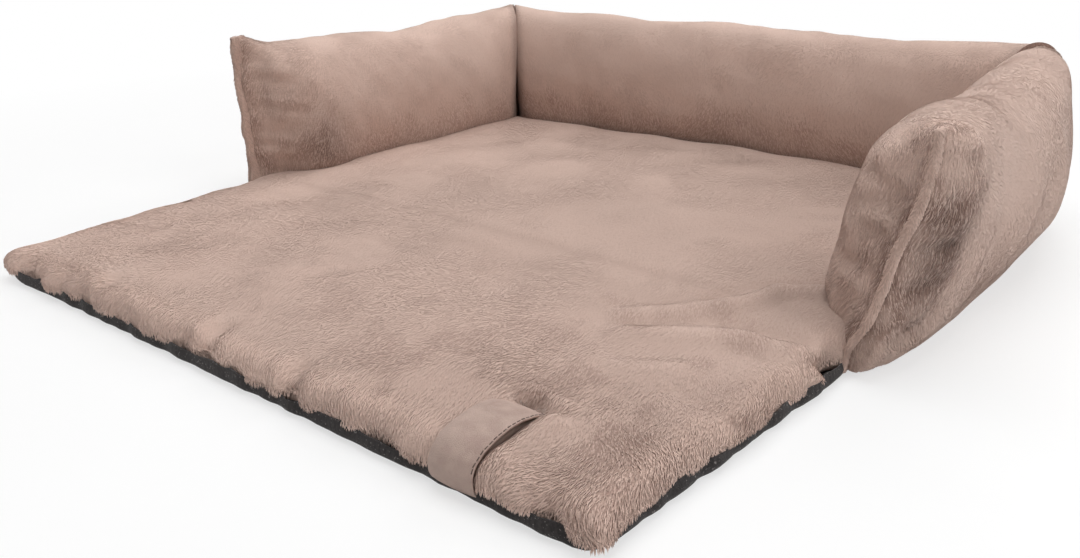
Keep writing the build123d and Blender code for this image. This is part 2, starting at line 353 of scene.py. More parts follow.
class Tree:
    """Adds and joins the nodes of one node tree."""

    def __init__(self, tree: bpy.types.NodeTree) -> None:
        """Start with the nodes that the tree has."""
        self.tree = tree

    def add(self, kind: str, **settings: object) -> bpy.types.Node:
        """Add a node and set its options and its unlinked inputs.

        Args:
            kind: the node's type, without its prefix.
            settings: options by name, or inputs by name with spaces as underscores.

        Returns:
            The new node.
        """
        node = self.tree.nodes.new("ShaderNode" + kind)
        for key, value in settings.items():
            if hasattr(node, key):
                setattr(node, key, value)
            else:
                node.inputs[key.replace("_", " ")].default_value = value
        return node

    def link(self, source: Socket, target: Socket) -> None:
        """Join an output to an input."""
        self.tree.links.new(source, target)

    def mix_shaders(self, share: Socket, first: Socket, second: Socket, output: str) -> None:
        """Show one shader mixed with another.

        Args:
            share: how much of the second shows.
            first, second: the shaders.
            output: the name of the tree's output node.
        """
        mix = self.add("MixShader")
        self.link(share, mix.inputs["Fac"])
        self.link(first, mix.inputs[1])
        self.link(second, mix.inputs[2])
        self.link(mix.outputs[0], self.tree.nodes[output].inputs["Surface"])


class Nodes(Tree):
    """Builds one procedural material, node by node."""

    def __init__(self, name: str) -> None:
        """Start a material with its shader."""
        self.material = bpy.data.materials.new(name)
        self.material.use_nodes = True
        super().__init__(self.material.node_tree)
        self.shader = self.tree.nodes["Principled BSDF"]

    def set(self, **values: object) -> None:
        """Set the shader's own sockets."""
        for key, value in values.items():
            self.shader.inputs[key.replace("_", " ")].default_value = value

    def place(self, scale: Sequence[float] = (1, 1, 1)) -> Socket:
        """Object coordinates, scaled along each axis."""
        coordinates = self.add("TexCoord")
        mapping = self.add("Mapping")
        mapping.inputs["Scale"].default_value = scale
        self.link(coordinates.outputs["Object"], mapping.inputs["Vector"])
        return mapping.outputs["Vector"]

    def attribute(self, name: str) -> Socket:
        """A value that the mesh keeps for each point."""
        return self.add("Attribute", attribute_name=name).outputs["Fac"]

    def noise(self, scale: float, detail: float = 3, vector: Socket | None = None) -> Socket:
        """A noise value from 0 to 1."""
        node = self.add("TexNoise", Scale=scale, Detail=detail)
        self.link(vector or self.place(), node.inputs["Vector"])
        return node.outputs["Fac"]

    def spread(
        self, value: Socket, low: float, high: float, to_low: float, to_high: float
    ) -> Socket:
        """Move a value from one range to another."""
        node = self.add("MapRange", From_Min=low, From_Max=high, To_Min=to_low, To_Max=to_high)
        self.link(value, node.inputs["Value"])
        return node.outputs["Result"]

    def ramp(self, value: Socket, *stops: tuple[float, Colour]) -> Socket:
        """Turn a value into a colour between stops."""
        node = self.add("ValToRGB")
        elements = node.color_ramp.elements
        while len(elements) < len(stops):
            elements.new(0.5)
        for element, (position, colour) in zip(elements, stops):
            element.position = position
            element.color = (*linear(colour), 1)
        self.link(value, node.inputs["Fac"])
        return node.outputs["Color"]

    def mix(self, share: Socket, first: Socket, second: Socket | Colour) -> Socket:
        """Mix two colours.

        Args:
            share: how much of the second shows.
            first: a colour socket.
            second: a colour socket or a plain colour.

        Returns:
            The mixed colour.
        """
        node = self.add("Mix", data_type="RGBA")
        self.link(share, node.inputs["Factor"])
        self.link(first, node.inputs[MIX_FIRST])
        if isinstance(second, tuple):
            node.inputs[MIX_SECOND].default_value = (*linear(second), 1)
        else:
            self.link(second, node.inputs[MIX_SECOND])
        return node.outputs[MIX_RESULT]

    def times(self, colour: Socket, *values: Socket) -> Socket:
        """Multiply a colour by values."""
        for value in values:
            node = self.add("VectorMath", operation="SCALE")
            self.link(colour, node.inputs[0])
            self.link(value, node.inputs["Scale"])
            colour = node.outputs[0]
        return colour

    def math(self, operation: str, a: Socket, b: Socket | float) -> Socket:
        """Join two values by an operation."""
        node = self.add("Math", operation=operation)
        self.link(a, node.inputs[0])
        if isinstance(b, (int, float)):
            node.inputs[1].default_value = b
        else:
            self.link(b, node.inputs[1])
        return node.outputs[0]

    def bump(self, height: Socket, distance: float, strength: float = 1) -> None:
        """Raise the shader's surface by a height."""
        node = self.add("Bump", Strength=strength, Distance=distance)
        self.link(height, node.inputs["Height"])
        self.link(node.outputs["Normal"], self.shader.inputs["Normal"])

    def colour(self, colour: Socket) -> None:
        """Set the shader's colour from a socket."""
        self.link(colour, self.shader.inputs["Base Color"])


def linear(colour: Colour) -> Colour:
    """Turn screen colour from 0 to 255 into scene colour from 0 to 1."""
    shares = (c / 255 for c in colour)
    return tuple(c / 12.92 if c <= 0.04045 else ((c + 0.055) / 1.055) ** 2.4 for c in shares)


@dataclass(frozen=True)
class Fur:
    """The fur's two materials.

    Attributes:
        pile: for the hairs.
        backing: for the cover between them.
    """

    pile: Material
    backing: Material


@dataclass(frozen=True)
class FurFinish:
    """Fine plush pile, brushed into patches, with darker roots where it is parted; the same dark
    colours paint shade at the bolsters' feet, in hollows and in the corner seams.
    """

    name: str = "taupe_plush"
    deep: Colour = (203, 176, 163)
    middle: Colour = (207, 180, 167)
    tip: Colour = (211, 185, 172)
    parted_and_shade_deep: Colour = (122, 94, 82)
    parted_and_shade_middle: Colour = (154, 125, 113)
    parted_and_shade_tip: Colour = (186, 158, 146)
    patch_scale: float = 6.0
    patch_contrast: float = 0.035

    def make(self) -> Fur:
        """Build both materials."""
        return Fur(self.pile(), self.backing())

    def pile(self) -> Material:
        """The hairs, coloured along their length."""
        nodes = Nodes(self.name)
        along = nodes.attribute("tip")
        smooth = nodes.ramp(along, (0.0, self.deep), (0.45, self.middle), (1.0, self.tip))
        dark = nodes.ramp(
            along, (0.0, self.parted_and_shade_deep), (0.5, self.parted_and_shade_middle), (1.0, self.parted_and_shade_tip)
        )
        self.colour(nodes, smooth, dark)
        nodes.set(Roughness=0.85, Sheen_Weight=0.12, Sheen_Roughness=0.5, Specular_IOR_Level=0.12)
        return nodes.material

    def backing(self) -> Material:
        """The dense short pile between the hairs, as seen down between them."""
        nodes = Nodes(self.name + "_backing")
        streak = nodes.noise(520, 3, nodes.place((1, 0.3, 1)))
        smooth = nodes.ramp(streak, (0.3, self.deep), (0.7, self.middle))
        dark = nodes.ramp(streak, (0.3, self.parted_and_shade_deep), (0.7, self.parted_and_shade_middle))
        self.colour(nodes, smooth, dark)
        nodes.set(Roughness=0.95, Sheen_Weight=0.1, Sheen_Roughness=0.6, Specular_IOR_Level=0.05)
        nodes.bump(streak, 0.0012)
        return nodes.material

    def colour(self, nodes: Nodes, smooth: Socket, dark: Socket) -> None:
        """Colour the fur: dark roots where it is parted and dark painted shade, broad patches of
        brushing, and the tone attribute's random tone with painted light and shade.
        """
        colour = nodes.mix(nodes.attribute("part"), smooth, dark)
        low, high = 1 - self.patch_contrast, 1 + self.patch_contrast
        patch = nodes.spread(nodes.noise(self.patch_scale, 4), 0.3, 0.7, low, high)
        nodes.colour(nodes.times(colour, nodes.attribute("tone"), patch))


@dataclass(frozen=True)
class WovenFinish:
    """A woven cloth: threads both ways, with flecks and a fine bump."""

    name: str
    dark: Colour
    light: Colour
    threads: float = 900.0
    fleck: Colour | None = None
    roughness: float = 0.9

    def make(self) -> Material:
        """Build the material."""
        nodes = Nodes(self.name)
        coordinates = nodes.add("TexCoord").outputs["Object"]
        waves = []
        for way in ("X", "Y"):
            wave = nodes.add("TexWave", bands_direction=way, Distortion=2.5)
            wave.inputs["Scale"].default_value = self.threads / 20
            nodes.link(coordinates, wave.inputs["Vector"])
            waves.append(wave.outputs["Fac"])
        weave = nodes.math("MULTIPLY", *waves)
        fuzz = nodes.noise(self.threads / 2, 2)
        weave, fuzz = nodes.math("MULTIPLY", weave, 0.25), nodes.math("MULTIPLY", fuzz, 0.8)
        mixed = nodes.math("ADD", weave, fuzz)
        colour = nodes.ramp(mixed, (0.2, self.dark), (0.8, self.light))
        if self.fleck:
            spots = nodes.spread(nodes.noise(520, 1), 0.66, 0.72, 0, 1)
            colour = nodes.mix(spots, colour, self.fleck)
        patch = nodes.spread(nodes.noise(14, 3), 0.3, 0.7, 0.9, 1.08)
        nodes.colour(nodes.times(colour, patch))
        nodes.set(Roughness=self.roughness, Specular_IOR_Level=0.2, Sheen_Weight=0.1)
        nodes.bump(mixed, 0.0004)
        return nodes.material


@dataclass(frozen=True)
class LeatherFinish:
    """Soft matte leather: pebbled grain with darker lines between the pebbles, and faint mottling.
    """

    name: str = "soft_leather"
    base: Colour = (196, 171, 159)
    deep: Colour = (176, 150, 139)

    def make(self) -> Material:
        """Build the material."""
        nodes = Nodes(self.name)
        grain = nodes.add("TexVoronoi", feature="DISTANCE_TO_EDGE", Scale=1100.0)
        nodes.link(nodes.place(), grain.inputs["Vector"])
        pebble = nodes.spread(grain.outputs["Distance"], 0, 0.25, 0, 1)
        mottle = nodes.noise(60, 4)
        colour = nodes.ramp(mottle, (0.3, self.deep), (0.65, self.base))
        shade = nodes.spread(pebble, 0, 1, 0.93, 1.02)
        nodes.colour(nodes.times(colour, shade))
        rough = nodes.spread(nodes.noise(300, 2), 0.3, 0.7, 0.5, 0.66)
        nodes.link(rough, nodes.shader.inputs["Roughness"])
        nodes.set(Specular_IOR_Level=0.35)
        nodes.bump(nodes.math("ADD", pebble, nodes.math("MULTIPLY", mottle, 2.0)), 0.00025)
        return nodes.material


@dataclass(frozen=True)
class SmoothFinish:
    """Thread, moulded plastic or metal, with small wear and unevenness."""

    name: str
    base: Colour
    worn: Colour
    roughness: float = 0.5
    metallic: float = 0.0
    scale: float = 250.0

    def make(self) -> Material:
        """Build the material."""
        nodes = Nodes(self.name)
        wear = nodes.noise(self.scale, 4)
        nodes.colour(nodes.ramp(wear, (0.35, self.base), (0.75, self.worn)))
        rough = nodes.spread(wear, 0.3, 0.7, self.roughness * 0.85, min(self.roughness * 1.2, 1))
        nodes.link(rough, nodes.shader.inputs["Roughness"])
        nodes.set(Metallic=self.metallic)
        nodes.bump(wear, 0.0001)
        return nodes.material


# The pile


MAX_TUFTS = 48_000
CELL_ORIGIN = 2_000
CELL_ROW = 10_000
BEND_SLOPES = (1.25, 0.6)
LIFT_LIMITS = (0.01, 1.45)
LOWEST_HAIR = 0.0004
TUFT_FACES = np.array([(0, 1, 2), (3, 2, 1), (0, 3, 1), (0, 2, 3)])
TUFT_UNDERSIDES = (2, 3)
TUFT_TIPS = np.array([0.0, 0.45, 0.45, 1.0])
TUFT_MAP = np.array([(0.5, 0.05), (0.1, 0.5), (0.9, 0.5), (0.5, 0.95)])


@dataclass
class Tufts:
    """Many small closed tufts, before they are made a mesh.

    Attributes:
        corners: four points for each tuft: root, left, right and tip.
        normals: a soft normal at each of them.
        under: the soft normal of each tuft's underside.
        tone: each tuft's brightness, as a share of the plain colour's: random tone with painted
            light and shade.
        part: from 0 to 1, how dark the parted colours show there, for parted pile and for painted
            shade.
    """

    corners: Points
    normals: Points
    under: Points
    tone: Points
    part: Points

    def mesh(self, name: str, chosen: Points) -> Piece:
        """Make one object of some of the tufts.

        Args:
            name: the object's name.
            chosen: the tufts' numbers.

        Returns:
            The object, with its attributes and a map with a cell for each tuft.
        """
        count = len(chosen)
        faces = (np.arange(count)[:, None, None] * 4 + TUFT_FACES[None]).reshape(-1, 3)
        mesh = bpy.data.meshes.new(name)
        mesh.vertices.add(count * 4)
        mesh.vertices.foreach_set("co", self.corners[chosen].ravel())
        mesh.loops.add(len(faces) * 3)
        mesh.loops.foreach_set("vertex_index", faces.ravel().astype(np.int32))
        mesh.polygons.add(len(faces))
        starts = np.arange(0, len(faces) * 3, 3, dtype=np.int32)
        mesh.polygons.foreach_set("loop_start", starts)
        mesh.update(calc_edges=True)
        mesh.shade_smooth()
        across = math.ceil(math.sqrt(count))
        cells = np.stack([np.arange(count) % across, np.arange(count) // across], 1)
        places = ((cells[:, None, :] + TUFT_MAP[None]) / across).reshape(-1, 2)
        layer = mesh.uv_layers.new(name="OFBake")
        layer.uv.foreach_set("vector", places[faces.ravel()].astype(np.float32).ravel())
        normals = self.normals[chosen][:, TUFT_FACES]
        normals[:, TUFT_UNDERSIDES] = self.under[chosen][:, None, None]
        mesh.normals_split_custom_set(normals.reshape(-1, 3).tolist())
        piece = new_object(name, mesh)
        store(piece, "tip", np.tile(TUFT_TIPS, count))
        store(piece, "tone", np.repeat(self.tone[chosen], 4))
        store(piece, "part", np.repeat(self.part[chosen], 4))
        return piece


@dataclass(frozen=True)
class ByRuffle:
    """A measure of the pile that changes where it stands up.

    Attributes:
        smooth: its value where the pile is brushed flat.
        added: what is added to it where the pile is fully ruffled.
    """

    smooth: float
    added: float

    def at(self, ruffle: Points) -> Points:
        """The measure at each tuft."""
        return self.smooth + self.added * ruffle


@dataclass
class Brushing:
    """Where a cover's tufts stand, and how each of them is brushed.

    Attributes:
        places: the roots.
        normals: the surface normals at the roots.
        flow: the way in which each tuft is brushed.
        ruffle: from 0, brushed flat, to 1, standing up in locks.
        part: how far the pile shows its dark parted colours, for parted pile and for painted shade.
        shade: each tuft's brightness, as a share of the plain colour's, with painted light and
            shade.
        scale: each tuft's length, as a share of the pile's.
        hang: from 0, lying on the skin, to 1, hanging free over an edge.
        foot: the lowest height that each hanging tuft reaches.
    """

    places: Points
    normals: Points
    flow: Points
    ruffle: Points
    part: Points
    shade: Points | float
    scale: Points | float = 1.0
    hang: Points | None = None
    foot: Points | None = None


@dataclass(frozen=True)
class Nap:
    """How a cover's pile grows.

    Attributes:
        density: tufts on a square metre.
        length, width: a tuft's length, and its width at its widest.
        clump: how far apart the locks are, into which the tips gather.
        seed: picks the random draws.
        lift: a tuft's slope off the surface, in radians.
        turn, sway: how far single tufts, and whole areas, turn off the flow, in radians.
        gather: how far the tips are drawn into their locks.
        tilt, crown: how far the soft normals lean to the sides and to the tip.
        contrast: how much single tufts differ in brightness.
        lock_contrast: how much whole locks differ in brightness.
        fullness: how many times wider the tufts are that lie quite flat.
        bend: the share of the length that is below the bend.
        root_depth: how far the root is sunk in the skin.
    """

    density: float = 225_000
    length: float = 0.0085
    width: float = 0.00085
    clump: float = 0.006
    seed: int = 1
    lift: ByRuffle = ByRuffle(0.022, 0.238)
    turn: ByRuffle = ByRuffle(0.07, 0.30)
    sway: ByRuffle = ByRuffle(0.05, 0.25)
    gather: ByRuffle = ByRuffle(0.02, 0.22)
    tilt: ByRuffle = ByRuffle(0.05, 0.18)
    crown: ByRuffle = ByRuffle(0.04, 0.25)
    contrast: ByRuffle = ByRuffle(0.02, 0.12)
    lock_contrast: ByRuffle = ByRuffle(0.01, 0.10)
    fullness: float = 1.8
    bend: float = 0.42
    root_depth: float = 0.0012

    def roots(self, skin: Piece, keep: Callable[[Points, Points], Points]) -> tuple[Points, Points]:
        """Spread the tufts' roots evenly over a skin.

        Args:
            skin: the cover's surface.
            keep: from places and normals, the share of the tufts that grow there.

        Returns:
            The roots' places and normals.
        """
        points = read_points(skin)
        normals = read_normals(skin)
        skin.data.calc_loop_triangles()
        corners = np.empty(len(skin.data.loop_triangles) * 3, np.int32)
        skin.data.loop_triangles.foreach_get("vertices", corners)
        corners = corners.reshape(-1, 3)
        a, b, c = (points[corners[:, i]] for i in range(3))
        areas = np.linalg.norm(np.cross(b - a, c - a), axis=1) / 2
        share = keep((a + b + c) / 3, unit(normals[corners].sum(1)))
        total = np.cumsum(areas * share)
        count = int(total[-1] * self.density * (1.0))
        rng = np.random.default_rng(self.seed)
        picks = (np.arange(count) + rng.random(count)) / count * total[-1]
        faces = np.minimum(np.searchsorted(total, picks), len(corners) - 1)
        u, v = rng.random((2, count))
        fold = u + v > 1
        u[fold], v[fold] = 1 - u[fold], 1 - v[fold]
        weights = np.stack([1 - u - v, u, v], 1)[:, :, None]
        places = (points[corners[faces]] * weights).sum(1)
        return places, unit((normals[corners[faces]] * weights).sum(1))

    def grow(self, name: str, skin: Piece, brushing: Brushing, body: str, finish: Material) -> None:
        """Grow the tufts and split them into pieces of even size.

        Args:
            name: the pieces' name, to which a number is added.
            skin: the surface that they grow on, which their tips stay clear of.
            brushing: where they stand and how they are brushed.
            body: the body that the pile moves with.
            finish: the pile's material.
        """
        tufts = self.tufts(skin, brushing)
        longest = int(np.argmax(np.ptp(brushing.places, axis=0)))
        in_order = np.argsort(brushing.places[:, longest], kind="stable")
        parts = max(1, math.ceil(len(in_order) / MAX_TUFTS))
        for number, chosen in enumerate(np.array_split(in_order, parts), 1):
            settle(tufts.mesh(f"{name}_{number}", chosen), body, finish)

    def tufts(self, skin: Piece, brushing: Brushing) -> Tufts:
        """Shape each tuft: a sunk root, two sides at the bend and a tip.

        Args:
            skin: the surface that they grow on.
            brushing: where they stand and how they are brushed.

        Returns:
            The tufts, not yet a mesh.
        """
        rng = np.random.default_rng(self.seed + 100)
        places, normals, ruffle = brushing.places, brushing.normals, brushing.ruffle
        count = len(places)
        flow, side = self.turned(brushing, rng)
        length = self.length * brushing.scale * rng.uniform(0.75, 1.2, count)
        width = self.width * rng.uniform(0.75, 1.25, count)
        width = width * 1.0
        width = width * (self.fullness - (self.fullness - 1) * ease(0.0, 0.25, ruffle))
        lift = np.clip(self.lift.at(ruffle) * rng.normal(1, 0.2, count), *LIFT_LIMITS)
        low_way, high_way = (
            flow * np.cos(lift * steeper)[:, None] + normals * np.sin(lift * steeper)[:, None]
            for steeper in BEND_SLOPES
        )
        middle = places + low_way * (length * self.bend)[:, None]
        tips = middle + high_way * (length * (1 - self.bend))[:, None]
        tips, lock_tone = self.gathered(places, tips, ruffle)
        height = length * np.sin(lift)
        tips = lie_on(skin, tips, 0.0001 + 0.8 * height)
        middle = lie_on(skin, middle, 0.00015 + 0.5 * height)
        spread = self.contrast.at(ruffle) + 0.10 * brushing.part
        tone = brushing.shade * (1 + (rng.random(count) - 0.5) * spread)
        tone = tone * (1 + (lock_tone - 0.5) * self.lock_contrast.at(ruffle))
        part = np.clip(brushing.part * rng.uniform(-0.2, 1.6, count), 0, 1)
        if brushing.hang is not None:
            share = brushing.hang[:, None]
            free, bent = self.hanging(brushing, length, rng)
            tips = tips + (free - tips) * share
            middle = middle + (bent - middle) * share
            normals = unit(normals + UP * (0.9 * share))
        half = side * (width / 2)[:, None]
        sunk = places - normals * self.root_depth
        corners = np.stack([sunk, middle - half, middle + half, tips], 1)
        corners[:, :, 2] = np.maximum(corners[:, :, 2], LOWEST_HAIR)
        tilt = side * self.tilt.at(ruffle)[:, None]
        ahead = high_way * self.crown.at(ruffle)[:, None]
        leans = (0 * tilt, -tilt, tilt, ahead)
        soft = np.stack([unit(normals + lean) for lean in leans], 1)
        axis = unit(tips - places)
        away = unit(axis * (axis * normals).sum(1, keepdims=True) - normals)
        return Tufts(corners, soft, unit(axis * 0.95 + away * 0.3), tone, part)

    def turned(self, brushing: Brushing, rng: np.random.Generator) -> tuple[Points, Points]:
        """Lay the flow in the surface and turn each tuft a little at random.

        Returns:
            Each tuft's way along the surface, and the way to its side.
        """
        normals, ruffle = brushing.normals, brushing.ruffle
        flow = unit(brushing.flow - (brushing.flow * normals).sum(1, keepdims=True) * normals)
        side = np.cross(normals, flow)
        turn = rng.normal(0, 1, len(normals)) * self.turn.at(ruffle)
        turn = turn + Waves(self.seed + 3, 0.05).at(brushing.places) * self.sway.at(ruffle)
        cos, sin = np.cos(turn)[:, None], np.sin(turn)[:, None]
        return flow * cos + side * sin, side * cos - flow * sin

    def hanging(
        self, brushing: Brushing, length: Points, rng: np.random.Generator
    ) -> tuple[Points, Points]:
        """Where the tufts' tips and bends are when they hang over an edge."""
        level = unit(brushing.normals * LEVEL + TINY)
        free = brushing.places + (level * 0.28 - UP * 0.9) * length[:, None]
        bent = brushing.places + (level * 0.24 - UP * 0.4) * length[:, None]
        free[:, 2] = np.maximum(free[:, 2], brushing.foot + 0.0012 * rng.random(len(free)))
        bent[:, 2] = np.maximum(bent[:, 2], brushing.foot + 0.0015)
        return free, bent

    def gathered(self, places: Points, tips: Points, ruffle: Points) -> tuple[Points, Points]:
        """Draw the tips together in locks, more where the pile stands up.

        Returns:
            The tips, and a random shade from 0 to 1 that each lock's tufts share.
        """
        jitter = [Waves(self.seed + 7 + i, self.clump * 2.5).at(places) for i in range(3)]
        cell = np.floor(places / self.clump + 0.35 * np.stack(jitter, 1)).astype(np.int64)
        keys = ((cell[:, 0] + CELL_ORIGIN) * CELL_ROW + cell[:, 1] + CELL_ORIGIN) * CELL_ROW
        keys = keys + cell[:, 2] + CELL_ORIGIN
        lock = np.unique(keys, return_inverse=True)[1].ravel()
        sizes = np.bincount(lock)
        centre = np.stack([np.bincount(lock, tips[:, i]) / sizes for i in range(3)], 1)[lock]
        tips = tips + (centre - tips) * self.gather.at(ruffle)[:, None]
        shades = np.random.default_rng(self.seed + 200).random(len(sizes))
        return tips, shades[lock]


def lie_on(skin: Piece, points: Points, height: Points) -> Points:
    """Move points straight over a skin until each is at its height above it."""
    tree = BVHTree.FromPolygons(
        read_points(skin).tolist(), [tuple(face.vertices) for face in skin.data.polygons]
    )
    found = [tree.find_nearest(point)[:2] for point in points.tolist()]
    near = np.array([tuple(place) for place, _ in found])
    out = np.array([tuple(normal) for _, normal in found])
    return near + out * height[:, None]


@dataclass(frozen=True)
class Spot:
    """A soft round patch of pile made darker or lighter, by parting it and by painted light and
    shade.

    Attributes:
        place: its middle.
        reach: how far it spreads.
        tone: the change of brightness there, as painted light and shade and as darker nap.
        part: how far the pile's dark parted colours show there, for parted pile and for painted
            shade.
    """

    place: tuple[float, float, float]
    reach: float
    tone: float = 0.0
    part: float = 0.0

    def share(self, points: Points) -> Points:
        """How much of the spot is at each point, from 0 to 1."""
        return hump(np.linalg.norm(points - np.array(self.place), axis=1), 0, self.reach)


def add_spots(spots: Sequence[Spot], points: Points, quality: str) -> Points:
    """Add up one quality of some spots at each point.

    Args:
        spots: the spots.
        points: where to look.
        quality: tone or part.

    Returns:
        The sum at each point.
    """
    total = np.zeros(len(points))
    for spot in spots:
        total += getattr(spot, quality) * spot.share(points)
    return total


# The mat


@dataclass
class Crease:
    """A soft fold in a padded top: a ridge with a furrow beside it.

    Attributes:
        start, end: the ridge line in plan.
        width: how wide the ridge is.
        height: how far it rises. A negative height is a furrow.
    """

    start: tuple[float, float]
    end: tuple[float, float]
    width: float
    height: float

    def at(self, points: Points) -> Points:
        """How far each point rises."""
        start = np.array(self.start)
        run = np.array(self.end) - start
        length = np.linalg.norm(run)
        way = run / length
        offset = points[:, :2] - start
        along = offset @ way
        across = offset @ np.array([-way[1], way[0]])
        inside = ease(-self.width, self.width, along)
        inside = inside * ease(-self.width, self.width, length - along)
        ridge = hump(across, 0, self.width) - 0.55 * hump(across, 1.9 * self.width, self.width)
        return self.height * inside * ridge


MAT_PARTS = ("seat_fur_cover", "seat_filling", "flap_fur_cover", "flap_filling")
MAT_CREASES = (
    Crease((0.235, -0.226), (0.318, -0.158), 0.013, 0.0040),
    Crease((0.314, -0.164), (0.346, -0.104), 0.012, 0.0065),
    Crease((0.342, -0.110), (0.405, -0.052), 0.012, 0.0075),
    Crease((0.262, -0.258), (0.367, -0.200), 0.014, 0.0050),
    Crease((0.360, -0.206), (0.418, -0.200), 0.013, 0.0050),
    Crease((0.300, -0.316), (0.350, -0.284), 0.014, 0.0035),
    Crease((-0.026, -0.500), (-0.036, -0.452), 0.010, -0.006),
    Crease((0.097, -0.500), (0.088, -0.456), 0.010, -0.006),
    Crease((-0.215, -0.500), (-0.210, -0.460), 0.012, -0.004),
    Crease((-0.400, -0.350), (-0.330, -0.330), 0.014, -0.003),
    Crease((0.270, -0.399), (0.318, -0.409), 0.007, -0.005),
    Crease((0.3200, -0.482), (0.3200, -0.412), 0.0090, 0.0065),
    Crease((0.415, -0.330), (0.350, -0.318), 0.014, -0.003),
)
# Patches of the mat's pile: painted shade beside the right arm and round the near corner, with
# parted pile in most of them.
MAT_SPOTS = (
    Spot((0.345, -0.020, 0.046), 0.050, -0.09),
    Spot((0.365, -0.090, 0.046), 0.045, -0.13, 0.05),
    Spot((0.372, -0.155, 0.040), 0.040, -0.08, 0.05),
    Spot((0.394, -0.350, 0.038), 0.050, -0.04, 0.06),
    Spot((0.385, -0.400, 0.036), 0.030, -0.03, 0.12),
    Spot((0.410, -0.300, 0.035), 0.028, -0.09, 0.12),
    Spot((0.405, -0.390, 0.033), 0.045, -0.05, 0.05),
    Spot((0.204, -0.200, 0.040), 0.040, -0.04, 0.06),
    Spot((0.185, -0.400, 0.040), 0.045, -0.03, 0.06),
    # Painted shade in the dimple and where the strap dives into the pile.
    Spot((0.282, -0.402, 0.034), 0.008, -0.35, 0.70),
    Spot((0.300, -0.405, 0.037), 0.008, -0.12, 0.30),
    Spot((0.380, -0.460, 0.030), 0.050, -0.05, 0.10),
)


